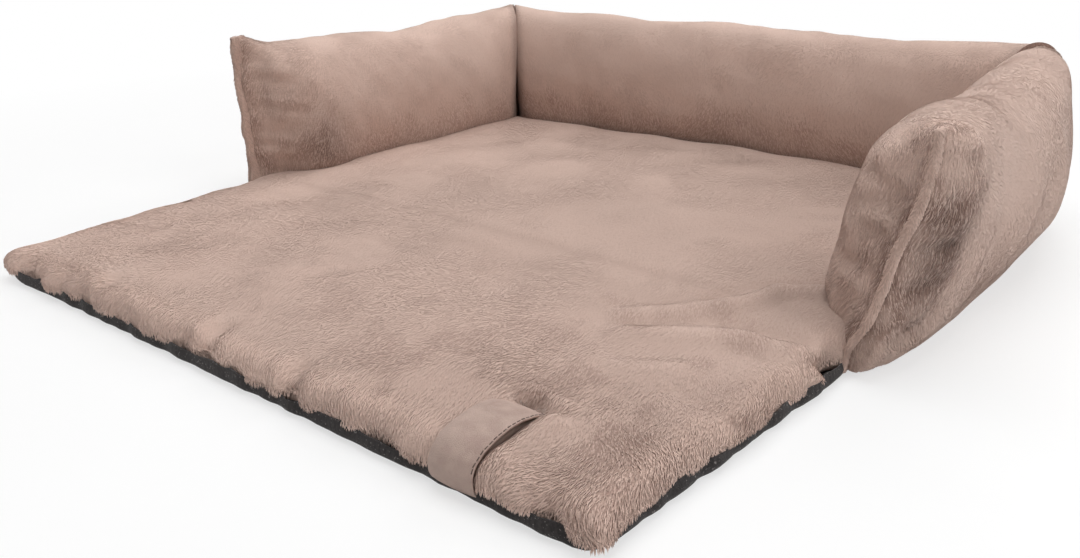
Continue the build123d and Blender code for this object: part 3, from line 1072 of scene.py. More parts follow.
@dataclass
class PlushMat:
    """The padded mat: the seat between the arms and the flap in front, one cover over both.

    Attributes:
        front_y: the flap's front edge.
        front_half, half: half the width at the front edge and at the arms.
        flap_depth: how far behind the front edge it has that full width.
        arms_y: the arms' front ends, behind which its sides are hidden.
        voxel: the size of the skin's faces.
        swell, ripple: the height and the spacing of the top's broad and small unevenness.
        fold_dip, fold_width: how deep and how wide the fold seam presses in.
        dimple: the middle of the small hollow at the strap's inner end.
        dimple_depth, dimple_reach: its depth and how far it spreads.
        pucker: the height and the spacing of the puckers along the flap's edges.
        notches: the place along X and the width of the two deeper ones in front.
        notch_depth: how deep those are.
        corner_pull: how far the two front corners are drawn out.
        hem, left_hem, right_hem: how high the pile ends over the base cloth, and what is
            added to that on the left and on the right.
        corner_hem: how far it comes down at the near corner.
        near_corner: that corner in plan.
        parted_and_shade_middle: the middle of the pile's most parted area, in plan.
        ruffled_middle: the middle of its most ruffled area, in plan.
        flap_starts: the places along Y where the flap's look begins and is in full.
        rear_tone: the pile's brightness on the seat, lowered there as painted shade.
    """

    front_y: float = -0.4928
    front_half: float = 0.410
    half: float = 0.434
    flap_depth: float = 0.313
    arms_y: float = -0.142
    voxel: float = 0.005
    swell: tuple[float, float] = (0.0014, 0.20)
    ripple: tuple[float, float] = (0.0004, 0.07)
    fold_dip: float = 0.0022
    fold_width: float = 0.016
    dimple: tuple[float, float] = (0.284, -0.4025)
    dimple_depth: float = 0.010
    dimple_reach: float = 0.009
    pucker: tuple[float, float] = (0.0022, 0.045)
    notches: Sequence[tuple[float, float]] = ((-0.026, 0.011), (0.097, 0.010))
    notch_depth: float = 0.006
    corner_pull: float = 0.0075
    hem: float = 0.0125
    left_hem: float = -0.0030
    right_hem: float = 0.0025
    corner_hem: float = 0.0105
    near_corner: tuple[float, float] = (0.41, -0.49)
    parted_and_shade_middle: tuple[float, float] = (0.40, -0.46)
    ruffled_middle: tuple[float, float] = (0.40, -0.48)
    flap_starts: tuple[float, float] = (-0.1, -0.2)
    rear_tone: float = 0.895
    nap: Nap = Nap(seed=11)

    def build(self) -> None:
        """Make the cover's skin as one padded form over the seat and the flap."""
        fold_y = frame_joint(FOLD_JOINT)[1]
        body = node_copy("mat_cover", MAT_PARTS)
        bpy.ops.mesh.primitive_cube_add(size=1, location=(0, fold_y, 0.0205))
        bridge = bpy.context.object
        bridge.scale = (2 * (self.half - 0.016), 0.100, 0.033)
        select_only(body, bridge)
        bpy.ops.object.transform_apply(location=True, rotation=True, scale=True)
        bpy.ops.object.join()
        self.skin = body
        remesh(body, self.voxel)
        relax(body, 6)
        self.sculpt(fold_y)
        shade_smooth(body)

    def edge_distance(self, points: Points) -> Points:
        """How far inside the flap's plan outline each point is."""
        from_front = points[:, 1] - self.front_y
        widened = (self.half - self.front_half) * np.clip(from_front / self.flap_depth, 0, 1)
        return np.minimum(self.front_half + widened - np.abs(points[:, 0]), from_front)

    def sculpt(self, fold_y: float) -> None:
        """Press in the fold, the creases and the dimple, and let the top and the edges roll."""
        self.level_fold(fold_y)
        relax(self.skin, 3)
        points = read_points(self.skin)
        normals = read_normals(self.skin)
        rise = uneven(points, 21, self.swell, self.ripple)
        rise = rise * ease(0.42, 0.36, np.abs(points[:, 0]))
        rise = rise - self.fold_dip * hump(points[:, 1], fold_y, self.fold_width)
        for crease in MAT_CREASES:
            rise = rise + crease.at(points)
        reach = plan_distance(points, self.dimple)
        rise = rise - self.dimple_depth * hump(reach, 0, self.dimple_reach)
        points[:, 2] += rise * ease(0.1, 0.6, normals[:, 2])
        flap_edge = ease(0.05, 0.0, self.edge_distance(points))
        flap_edge = flap_edge * ease(fold_y + 0.03, fold_y, points[:, 1])
        pucker = uneven(points * LEVEL, 23, self.pucker)
        notch = sum(hump(points[:, 0], middle, width) for middle, width in self.notches)
        notch = -self.notch_depth * notch * ease(self.front_y + 0.04, self.front_y, points[:, 1])
        outward = unit(normals * LEVEL + TINY)
        points += outward * ((pucker + notch) * flap_edge)[:, None]
        points += self.corner_moves(points)
        write_points(self.skin, points)

    def level_fold(self, fold_y: float, reach: float = 0.05) -> None:
        """Fill the valley over the fold seam, so that the top runs on from the seat to the flap."""
        points = read_points(self.skin)
        rising = read_normals(self.skin)[:, 2]
        offset = points[:, 1] - fold_y
        middle = (rising > 0.3) & (np.abs(points[:, 0]) < 0.3)
        steps = np.linspace(-reach, reach, 26)
        heights = np.array(
            [np.median(points[middle & (np.abs(offset - step) < 0.004), 2]) for step in steps]
        )
        wanted = np.interp(steps, (-reach, reach), (heights[0], heights[-1]))
        fill = np.interp(offset, steps, wanted - heights, left=0, right=0)
        points[:, 2] += fill * ease(0.0, 0.4, rising)
        write_points(self.skin, points)

    def corner_moves(self, points: Points) -> Points:
        """How far each point is drawn out into the flap's two front corners."""
        front = ease(0.055, 0.0, points[:, 1] - self.front_y)
        side = ease(0.055, 0.0, self.front_half - np.abs(points[:, 0]))
        way = np.stack([np.sign(points[:, 0]), -np.ones(len(points)), np.zeros(len(points))], 1)
        return way * (self.corner_pull * front * side)[:, None]

    def parting(self, points: Points) -> Points:
        """Where the pile is parted: in patches, most near the front and the corner."""
        front = ease(-0.05, -0.35, points[:, 1])
        near = ease(0.5, 0.1, plan_distance(points, self.parted_and_shade_middle))
        patches = ease(0.2, 1.5, uneven(points, 35, (1.0, 0.085), (0.5, 0.03)))
        part = patches * (0.04 + 0.14 * front + 0.18 * near)
        return np.clip(part + add_spots(MAT_SPOTS, points, "part"), 0, 1)

    def shade(self, points: Points) -> Points:
        """The pile's brightness, with painted light and shade: lighter to the left, to the front
        and along the rolled edges, darker to the rear, and the spots' painted shade.
        """
        # Painted light along the rolled edges, to the left and to the front; painted shade on the
        # seat and to the rear.
        edge = ease(0.045, 0.0, self.edge_distance(points)) * self.on_flap(points)
        shade = self.rear_tone + 0.12 * ease(0.1, -0.4, points[:, 0]) + 0.14 * edge
        shade = shade + 0.07 * ease(-0.1, -0.40, points[:, 1]) - 0.02 * ease(0.0, 0.3, points[:, 1])
        return shade + add_spots(MAT_SPOTS, points, "tone")

    def corner_share(self, points: Points) -> Points:
        """How near each point is to the flap's near corner, from 0 to 1."""
        return ease(0.34, 0.04, plan_distance(points, self.ruffled_middle))

    def corner_gap(self, points: Points) -> Points:
        """How far each point is in plan from the tip of that corner."""
        return plan_distance(points, self.near_corner)

    def on_flap(self, points: Points) -> Points:
        """How surely each point lies on the flap, from 0 to 1."""
        return ease(*self.flap_starts, points[:, 1])

    def lowest(self, points: Points) -> Points:
        """How high over the floor the pile ends at each point."""
        x = points[:, 0]
        hem = self.hem + self.right_hem * ease(0.28, 0.33, x) + self.left_hem * ease(0.05, -0.10, x)
        return hem - self.corner_hem * ease(0.05, 0.015, self.corner_gap(points))

    def keep(self, places: Points, normals: Points) -> Points:
        """Where the pile grows: not underneath, behind the arms' fronts or under the strap."""
        fold_y = frame_joint(FOLD_JOINT)[1]
        x, y, z = places.T
        hidden = (normals[:, 2] <= -0.5) | (z <= self.lowest(places))
        hidden |= (y > self.arms_y) & (normals[:, 2] < 0.35)
        hidden |= (np.abs(x - LabelStrap.centre_x) < LabelStrap.width / 2 - 0.001) & (
            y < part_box("label_strap")[1][1] - 0.004
        )
        fringe = 0.6 * ease(0.024, 0.017, z) * self.on_flap(places)
        front = 0.33 * ease(fold_y + 0.05, fold_y - 0.1, y)
        share = 0.72 + front + 0.45 * self.corner_share(places) + fringe
        return np.where(hidden, 0.0, share)

    def brush(self) -> Brushing:
        """Brush the pile forward, out over the sides and down over the flap's edges."""
        places, normals = self.nap.roots(self.skin, self.keep)
        x, y, z = places.T
        on_flap = self.on_flap(places)
        side_first = np.where(x > 0, 1.0, -1.0) * ease(0.10, 0.0, self.half - np.abs(x)) * on_flap
        flow = np.tile([0.0, -1.0, -0.25], (len(x), 1))
        flow[:, 0] += side_first + uneven(places, 31, (0.35, 0.30), (0.25, 0.09))
        flow[:, 1] += uneven(places, 33, (0.25, 0.12))
        flow[:, 2] -= 3.0 * ease(0.7, 0.1, normals[:, 2])
        ruffle = 0.28 * ease(0.05, 0.0, self.edge_distance(places)) * on_flap
        ruffle = ruffle + 0.22 * self.corner_share(places) + 0.05 * ease(-0.1, -0.4, y) * on_flap
        ruffle = np.clip(ruffle * (1 + uneven(places, 34, (0.25, 0.11))), 0, 1)
        hang = ease(0.023, 0.015, z) * ease(-0.12, -0.16, y) * ease(0.5, 0.1, normals[:, 2])
        return Brushing(
            places,
            normals,
            flow,
            ruffle,
            part=self.parting(places),
            # Painted light: the pile is made lighter where it is ruffled and where it hangs over
            # the edge.
            shade=self.shade(places) * (1 + 0.15 * ruffle + 0.06 * hang),
            scale=1 + 0.1 * ease(0.07, 0.02, self.corner_gap(places)) - 0.35 * hang,
            hang=hang,
            foot=np.maximum(self.lowest(places) - 0.0038, LOWEST_HAIR),
        )

    def dress(self, fur: Fur) -> None:
        """Cover the skin and grow the pile on it."""
        self.nap.grow("mat_pile", self.skin, self.brush(), BED + FLAP, fur.pile)
        points = read_points(self.skin)
        back_pile(self.skin, BED + FLAP, fur.backing, self.parting(points), self.shade(points))
        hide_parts(*MAT_PARTS, "fold_seam")


# The bolster


class Side(Enum):
    """A side of the bed, with its sign along X."""

    LEFT = -1
    RIGHT = 1


@dataclass
class Bolster:
    """One stuffed bolster: a sewn pillow with its own soft lumps, creases and pile.

    Attributes:
        name: the cushion's name.
        nodes: the CAD nodes that it replaces, the cover first.
        seed: picks its random fields.
        voxel: the size of the skin's faces.
        nap: how its pile grows.
        spots: the patches made darker or lighter: parted pile, painted shade and painted light.
        tone: the pile's brightness as a whole, painted shade where it is below 1.
        swell, ripple: the height and the spacing of its broad and small unevenness.
        foot: the lowest height of its skin.
        middle_y: the middle of the lying space, which the pile is brushed away from.
        seat_top: where the mat hides it, on its inner side.
        seam_corner: where the two corner seams start, in plan.
        seam_half: half the width of the gap that the pile leaves over a corner seam.
    """

    name: str
    nodes: Sequence[str]
    seed: int
    voxel: float = 0.005
    nap: Nap = Nap()
    spots: Sequence[Spot] = ()
    tone: float = 1.0
    swell: tuple[float, float] = (0.0022, 0.16)
    ripple: tuple[float, float] = (0.0005, 0.05)
    foot: float = 0.0025
    middle_y: float = 0.05
    seat_top: float = 0.036
    seam_corner: tuple[float, float] = (0.419, 0.4065)
    seam_half: float = 0.0055

    def build(self) -> None:
        """Make the skin from the cover's outer form."""
        self.skin = node_copy(self.name, self.nodes[:1])
        remesh(self.skin, self.voxel)
        relax(self.skin, 4)
        points = read_points(self.skin)
        normals = read_normals(self.skin)
        rise = uneven(points, self.seed, self.swell, self.ripple) * ease(0.0, 0.03, points[:, 2])
        points += normals * rise[:, None]
        self.shape(points, normals)
        self.slump(points, normals)
        points[:, 2] = np.maximum(points[:, 2], self.foot)
        write_points(self.skin, points)
        relax(self.skin, 1)
        shade_smooth(self.skin)

    def slump(self, points: Points, normals: Points) -> None:
        """Let the right rear corner sit a little lower and fuller, in place."""
        x, y, z = points.T
        top = ease(0.12, 0.22, z)
        points[:, 2] -= 0.007 * ease(0.15, 0.42, x) * ease(-0.05, 0.35, y) * top
        full = ease(0.0, 0.30, y) * ease(0.30, 0.46, x) * ease(0.01, 0.06, z)
        points[:, 0] += 0.008 * full * np.clip(normals[:, 0], 0, 1)

    def shape(self, points: Points, normals: Points) -> None:
        """Give a bolster its own creases. The plain bolster has none."""

    def flow(self, places: Points, normals: Points) -> Points:
        """The way in which the pile is brushed: out over the top and down the sides."""
        outward = unit(places * LEVEL - np.array([0, self.middle_y, 0]))
        along = np.cross(np.tile(UP, (len(places), 1)), outward)
        flow = -0.9 * UP + outward * (0.9 * ease(0.2, 0.9, normals[:, 2]))[:, None]
        return flow + along * uneven(places, self.seed + 5, (0.45, 0.16))[:, None]

    def ruffle(self, places: Points, normals: Points) -> Points:
        """How far the pile stands up."""
        return np.clip(0.02 + uneven(places, self.seed + 6, (0.03, 0.09)), 0, 1)

    def parting(self, points: Points) -> Points:
        """Where the pile is parted and shows its dark roots, and where the foot is painted dark as
        shade.
        """
        patches = uneven(points, self.seed + 7, (1.0, 0.08), (0.5, 0.03))
        inner = ease(0.02, -0.03, np.maximum(np.abs(points[:, 0]) - 0.437, points[:, 1] - 0.428))
        # Painted shade at the foot on the inner sides, in the parted colours.
        foot_shade = ease(0.12, 0.045, points[:, 2] + 0.012 * patches) * inner
        part = 0.12 * ease(0.5, 1.8, patches) + 0.45 * foot_shade * self.foot_shade_share(points)
        part = part + add_spots(self.spots, points, "part") * (0.85 + 0.15 * patches)
        return np.clip(part, 0, 1)

    def foot_shade_share(self, points: Points) -> Points:
        """How much of the painted shade at the foot shows."""
        return np.ones(len(points))

    def seam_gap(self, points: Points) -> Points:
        """How far each point is from the plane of its corner seam."""
        x, y = self.seam_corner
        return np.abs((np.abs(points[:, 0]) - x) - (points[:, 1] - y)) * math.sqrt(0.5)

    def shade(self, points: Points) -> Points:
        """The pile's brightness, with painted light and shade: lighter over the top, darker at the
        foot and beside the corner seams, and the spots' painted light and shade.
        """
        # Painted light on the top; painted shade at the foot and in the corner seam's crease.
        shade = self.tone + 0.06 * ease(0.13, 0.21, points[:, 2])
        shade = shade - 0.10 * ease(0.11, 0.03, points[:, 2])
        shade = shade - 0.22 * ease(0.014, 0.003, self.seam_gap(points))
        return shade + add_spots(self.spots, points, "tone")

    def keep(self, places: Points, normals: Points) -> Points:
        """Where the pile grows: not under the foot, in the corner seam or below the seat's top."""
        x, y, z = places.T
        hidden = (z <= 0.006) | (normals[:, 2] <= -0.8)
        facing_in = -(normals[:, :2] * unit(np.stack([x, y - self.middle_y], 1))).sum(1)
        hidden |= (facing_in > 0.2) & (z < self.seat_top) & (y > -0.12)
        diagonal = np.stack([np.sign(x), -np.ones(len(x))], 1) * math.sqrt(0.5)
        toward = (normals[:, :2] * diagonal).sum(1)
        hidden |= (self.seam_gap(places) < self.seam_half) & (np.abs(toward) > 0.75)
        return np.where(hidden, 0.0, 1.0)

    def dress(self, fur: Fur) -> None:
        """Cover the skin and grow the pile on it."""
        places, normals = self.nap.roots(self.skin, self.keep)
        ruffle = self.ruffle(places, normals)
        brushing = Brushing(
            places,
            normals,
            self.flow(places, normals),
            ruffle,
            part=self.parting(places),
            # Painted light: the pile is made lighter where it is ruffled.
            shade=self.shade(places) * (1 + 0.15 * ruffle),
            scale=1 - 0.35 * ease(0.03, 0.008, places[:, 2]),
        )
        self.nap.grow(self.name + "_pile", self.skin, brushing, BED, fur.pile)
        points = read_points(self.skin)
        back_pile(self.skin, BED, fur.backing, self.parting(points), self.shade(points))
        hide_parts(*self.nodes)


@dataclass
class RearBolster(Bolster):
    """The back bolster, whose pile is trimmed round the zip and behind the care label.

    Attributes:
        margin, reach: how far round them, and to the front and rear, the pile is trimmed.
        inset: how far the cover is drawn in under the tapes.
        rear_y: behind this it is the cover's rear face.
    """

    margin: float = 0.006
    reach: float = 0.026
    inset: float = 0.0022
    rear_y: float = 0.46

    def shape(self, points: Points, normals: Points) -> None:
        """Draw the cover in under the zip's tapes, so that they lie on it."""
        x, y, z = points.T
        share = ease(0.036, 0.043, z) * ease(0.076, 0.069, z) * ease(0.240, 0.226, np.abs(x))
        points[:, 1] -= self.inset * share * (y > self.rear_y)

    def keep(self, places: Points, normals: Points) -> Points:
        """Where the pile grows: also not over the zip or behind the label."""
        share = super().keep(places, normals)
        for node in ("zip_upper_tape", "zip_lower_tape", "care_label"):
            margin = np.array([self.margin, self.reach, self.margin])
            low, high = (np.array(corner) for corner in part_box(node))
            low, high = low - margin, high + margin
            inside = ((places > low) & (places < high)).all(1)
            share = np.where(inside, 0.0, share)
        return share


ARM_HEIGHT = 0.22


def seam_line(heights: Points) -> Points:
    """How far out an upright arm's front seam is at each height."""
    return 0.445 + 0.029 * heights / ARM_HEIGHT


@dataclass
class Arm(Bolster):
    """A side bolster, whose front end is flattened into an upright seam with a raised welt.

    Attributes:
        side: which arm it is.
        front_y: its front end.
        out: how far the front end leans out, as pairs of a height and a shift.
        back, top_back: how far it leans back at the floor, and how much more at the top.
        bulge: how far its inner side swells behind the front seam.
        foot_full: how far its outer foot swells.
        ear: how far its upper front corner stands up.
    """

    side: Side = Side.RIGHT
    front_y: float = -0.147
    out: Sequence[tuple[float, float]] = ((0.0, 0.0), (0.22, 0.0))
    back: float = 0.0
    top_back: float = 0.0
    bulge: float = 0.024
    foot_full: float = 0.0
    ear: float = 0.0

    def lean(self, points: Points) -> None:
        """Lean the front end out and back, in place, by the height."""
        near = ease(0.20, 0.0, points[:, 1] - self.front_y)
        heights, shifts = zip(*self.out)
        points[:, 0] += self.side.value * near * np.interp(points[:, 2], heights, shifts)
        points[:, 1] += near * (self.back + self.top_back * points[:, 2] / ARM_HEIGHT)
        end = ease(0.065, 0.022, points[:, 1] - self.front_y)
        points[:, 2] += self.ear * ease(0.13, 0.20, points[:, 2]) * end

    def seam_x(self, heights: Points) -> Points:
        """How far out the front seam is at each height."""
        return seam_line(heights) + np.interp(heights, *zip(*self.out))

    def foot_shade_share(self, points: Points) -> Points:
        """The painted shade at the foot shows less towards the front end."""
        return 1 - 0.75 * ease(0.09, 0.02, points[:, 1] - self.front_y)

    def shape(self, points: Points, normals: Points) -> None:
        """Lean the front end, fill out its inner side and pucker the cloth behind its seam."""
        from_front = points[:, 1] - self.front_y
        centre = 0.441 + 0.022 * points[:, 2] / ARM_HEIGHT * ease(0.2, 0.0, from_front)
        inward = ease(-0.012, 0.034, centre - self.side.value * points[:, 0])
        upright = ease(0.0, 0.06, points[:, 2]) * ease(0.238, 0.165, points[:, 2])
        full = ease(0.002, 0.042, from_front) * (1 - 0.8 * ease(0.055, 0.20, from_front))
        points[:, 0] -= self.side.value * self.bulge * inward * upright * full
        outer = ease(0.0, 0.014, self.side.value * points[:, 0] - centre)
        low = ease(0.11, 0.02, points[:, 2]) * self.foot_full * outer
        points[:, 0] += self.side.value * low * ease(0.16, 0.0, from_front)
        points[:, 1] -= 0.8 * low * ease(0.05, 0.0, from_front)
        self.lean(points)
        flat = points * np.array([0.25, 0.35, 1.0])
        pucker = uneven(flat, self.seed + 9, (1.0, 0.026))
        pucker = pucker + uneven(points, self.seed + 10, (0.5, 0.05))
        points += normals * (0.0020 * pucker * hump(from_front, 0.028, 0.030))[:, None]

    def ruffle(self, places: Points, normals: Points) -> Points:
        """The pile stands up more round the front seam."""
        front = ease(0.12, 0.0, places[:, 1] - self.front_y)
        return np.clip(super().ruffle(places, normals) + 0.22 * front, 0, 1)

    def parting(self, points: Points) -> Points:
        """The pile is parted more behind the front seam, most on its outer side, and painted dark
        as shade in the groove inside the seam.
        """
        front = ease(0.16, 0.03, points[:, 1] - self.front_y)
        outer = ease(0.43, 0.46, self.side.value * points[:, 0])
        patches = uneven(points, self.seed + 11, (1.0, 0.045))
        patches = patches + uneven(points, self.seed + 8, (0.5, 0.02))
        behind = ease(-0.6, 1.0, patches) * front * (0.28 + 0.2 * outer)
        inside = self.seam_x(points[:, 2]) - self.side.value * points[:, 0]
        # Painted shade in the groove just inside the front seam.
        furrow = 0.4 * hump(inside, 0.008, 0.006) * ease(0.05, 0.02, points[:, 1] - self.front_y)
        return np.clip(super().parting(points) + behind + furrow, 0, 1)


@dataclass
class EndWelt:
    """The raised seam up an arm's front end, under its own short pile.

    Attributes:
        arm: the arm that it is on.
        node: the CAD node that it replaces.
        reach: how far in front of the arm it stands.
        depth: how far its rear side is set into the arm.
        widen: how many times wider it is than the CAD form.
        ruffle: how far its pile stands up.
        nap: how its pile grows.
    """

    arm: Arm
    node: str
    reach: float = 0.0025
    depth: float = 0.016
    widen: float = 1.5
    ruffle: float = 0.35
    nap: Nap = Nap(420_000, 0.0055, 0.0010, clump=0.005, seed=17, lift=ByRuffle(0.022, 0.478))

    def build(self) -> None:
        """Make the welt from its CAD form, leaning as the arm does."""
        self.skin = node_copy(self.node + "_seam", (self.node,))
        remesh(self.skin, 0.0022)
        relax(self.skin, 2)
        points = read_points(self.skin)
        middle = points[:, 1].mean()
        points[:, 1] += self.depth * ease(-0.001, 0.001, points[:, 1] - middle)
        centre = self.arm.side.value * seam_line(points[:, 2])
        points[:, 0] = centre + (points[:, 0] - centre) * self.widen
        self.arm.lean(points)
        points[:, 1] += uneven(points, self.arm.seed + 12, (0.0012, 0.03)) - self.reach
        points[:, 0] += uneven(points, self.arm.seed + 13, (0.0015, 0.07))
        points[:, 2] = np.maximum(points[:, 2], 0.005)
        write_points(self.skin, points)
        shade_smooth(self.skin)

    def keep(self, places: Points, normals: Points) -> Points:
        """Where its pile grows: not on its rear side or at its foot."""
        return np.where((normals[:, 1] < 0.6) & (places[:, 2] > 0.014), 1.0, 0.0)

    def dress(self, fur: Fur) -> None:
        """Cover it with pile that lies out to both sides and down, painted lighter as light on the
        raised seam.
        """
        places, normals = self.nap.roots(self.skin, self.keep)
        flow = normals * np.array([1.0, 0.0, 0.0]) * 0.8 - UP * 0.7
        flow[:, 1] += 0.4
        ruffle = np.full(len(places), self.ruffle)
        part = 0.25 * ease(0, 1.5, Waves(self.arm.seed + 14, 0.03).at(places))
        # shade 1.12 and tone 1.10 paint light on the raised seam.
        brushing = Brushing(places, normals, flow, ruffle, part, shade=1.12)
        self.nap.grow(self.node + "_pile", self.skin, brushing, BED, fur.pile)
        back_pile(self.skin, BED, fur.backing, part=0.2, tone=1.10)
        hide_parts(self.node)


@dataclass
class CornerSeam:
    """The cloth wall sewn into a corner between an arm and the back."""

    node: str

    def make(self, fur: Fur) -> None:
        """Copy the CAD wall, soften its edges and dress it as the fur's own cloth, painted dark as
        shade in the corner.
        """
        wall = node_copy(self.node + "_cloth", (self.node,))
        modify(wall, "soft_edge", "BEVEL", width=0.0006, segments=2, angle_limit=math.radians(50))
        apply_modifiers(wall)
        shade_smooth(wall, 40)
        # part 0.9 and tone 0.94 paint the shade of the corner crease.
        back_pile(wall, BED, fur.backing, part=0.9, tone=0.94)
        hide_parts(self.node)


# The base cloth


@dataclass
class BaseCloth:
    """The dark cloth under the mat, turned up round the flap as a puckered rim.

    Attributes:
        front_y, rear_y: its front and rear edges.
        front_half, half, rear_half: half its width in front, at the fold and at the rear.
        corner, rear_corner: the corners' radii.
        rim_end: how far back the rim runs.
        rim_rises: the rim's steps, as pairs of a height and a reach outward.
        thickness: the cloth's thickness.
        lift: how high it lies over the floor.
        pucker, scallop: how far the rim waves out and up, the second as a share of its height.
        puckers_apart: how far apart its waves are.
    """

    front_y: float = -0.4885
    rear_y: float = 0.4570
    front_half: float = 0.4065
    half: float = 0.4285
    rear_half: float = 0.4620
    corner: float = 0.016
    rear_corner: float = 0.120
    rim_end: float = -0.145
    rim_rises: Sequence[tuple[float, float]] = (
        (0.0035, 0.0028),
        (0.0085, 0.0042),
        (0.0150, 0.0020),
    )
    thickness: float = 0.0016
    lift: float = 0.0003
    pucker: float = 0.0016
    puckers_apart: float = 0.034
    scallop: float = 0.08

    def half_width(self, y: Points) -> Points:
        """Half the cloth's width at each depth."""
        share = np.clip((y - self.front_y) / 0.31, 0, 1)
        half = self.front_half + (self.half - self.front_half) * share
        behind = ease(0.08, 0.22, y - self.rim_end)
        half = half + (self.rear_half - self.half) * behind
        for radius, gap in ((self.corner, y - self.front_y), (self.rear_corner, self.rear_y - y)):
            near = np.clip(radius - gap, 0, radius)
            half = half - (radius - np.sqrt(radius**2 - near**2))
        return half

    def make(self, finish: Material) -> None:
        """Cut the sheet, turn up its rim, pucker it and give it its thickness."""
        cloth = new_grid("base_cloth", 90, 170)
        points = read_points(cloth)
        depth = (points[:, 1] + 0.5) ** 1.15
        points[:, 1] = self.front_y + (self.rear_y - self.front_y) * depth
        points[:, 0] *= 2 * self.half_width(points[:, 1])
        points[:, 2] = self.lift
        write_points(cloth, points)
        self.turn_up_rim(cloth)
        self.pucker_rim(cloth)
        with editing(cloth):
            bpy.ops.mesh.flip_normals()
        modify(cloth, "cloth", "SOLIDIFY", thickness=self.thickness, offset=-1)
        apply_modifiers(cloth)
        shade_smooth(cloth, 60)
        settle(cloth, BED + FLAP, finish)
        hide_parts("seat_base_cloth", "flap_base_cloth")

    def turn_up_rim(self, cloth: Piece) -> None:
        """Extrude the edge up in steps round the flap."""
        low = 0.0
        mesh = cloth.data
        for rise, _ in self.rim_rises:
            with editing(cloth, "DESELECT"):
                bpy.ops.mesh.select_mode(type="EDGE")
                bpy.ops.mesh.select_non_manifold()
            points = read_points(cloth)
            free = (points[:, 2] > self.lift + low - 1e-5) & (points[:, 1] < self.rim_end)
            chosen = [edge.select and all(free[v] for v in edge.vertices) for edge in mesh.edges]
            for part in (mesh.vertices, mesh.polygons):
                part.foreach_set("select", [False] * len(part))
            mesh.edges.foreach_set("select", chosen)
            bpy.ops.object.mode_set(mode="EDIT")
            bpy.ops.mesh.extrude_edges_move(TRANSFORM_OT_translate={"value": (0, 0, rise - low)})
            bpy.ops.object.mode_set(mode="OBJECT")
            low = rise

    def pucker_rim(self, cloth: Piece) -> None:
        """Move the rim out by its steps, and out, in and up with the puckers."""
        points = read_points(cloth)
        height = points[:, 2] - self.lift
        rises, reaches = zip((0.0, 0.0), *self.rim_rises)
        reach = np.interp(height, rises, reaches)
        side = np.exp(-(self.half_width(points[:, 1]) - np.abs(points[:, 0])) / 0.008)
        front = np.exp(-(points[:, 1] - self.front_y) / 0.008)
        outward = unit(np.stack([np.sign(points[:, 0]) * side, -front, 0 * front], 1))
        share = 0.45 + 0.55 * height / rises[-1]
        share = share * np.clip(np.maximum(side, front), 0, 1) * ease(0.05, -0.05, points[:, 1])
        level = points * LEVEL
        pucker = uneven(level, 71, (self.pucker, self.puckers_apart))
        points += outward * (reach + pucker * share)[:, None]
        points[:, 2] += height * uneven(level, 72, (self.scallop, self.puckers_apart))
        write_points(cloth, points)


# The label strap


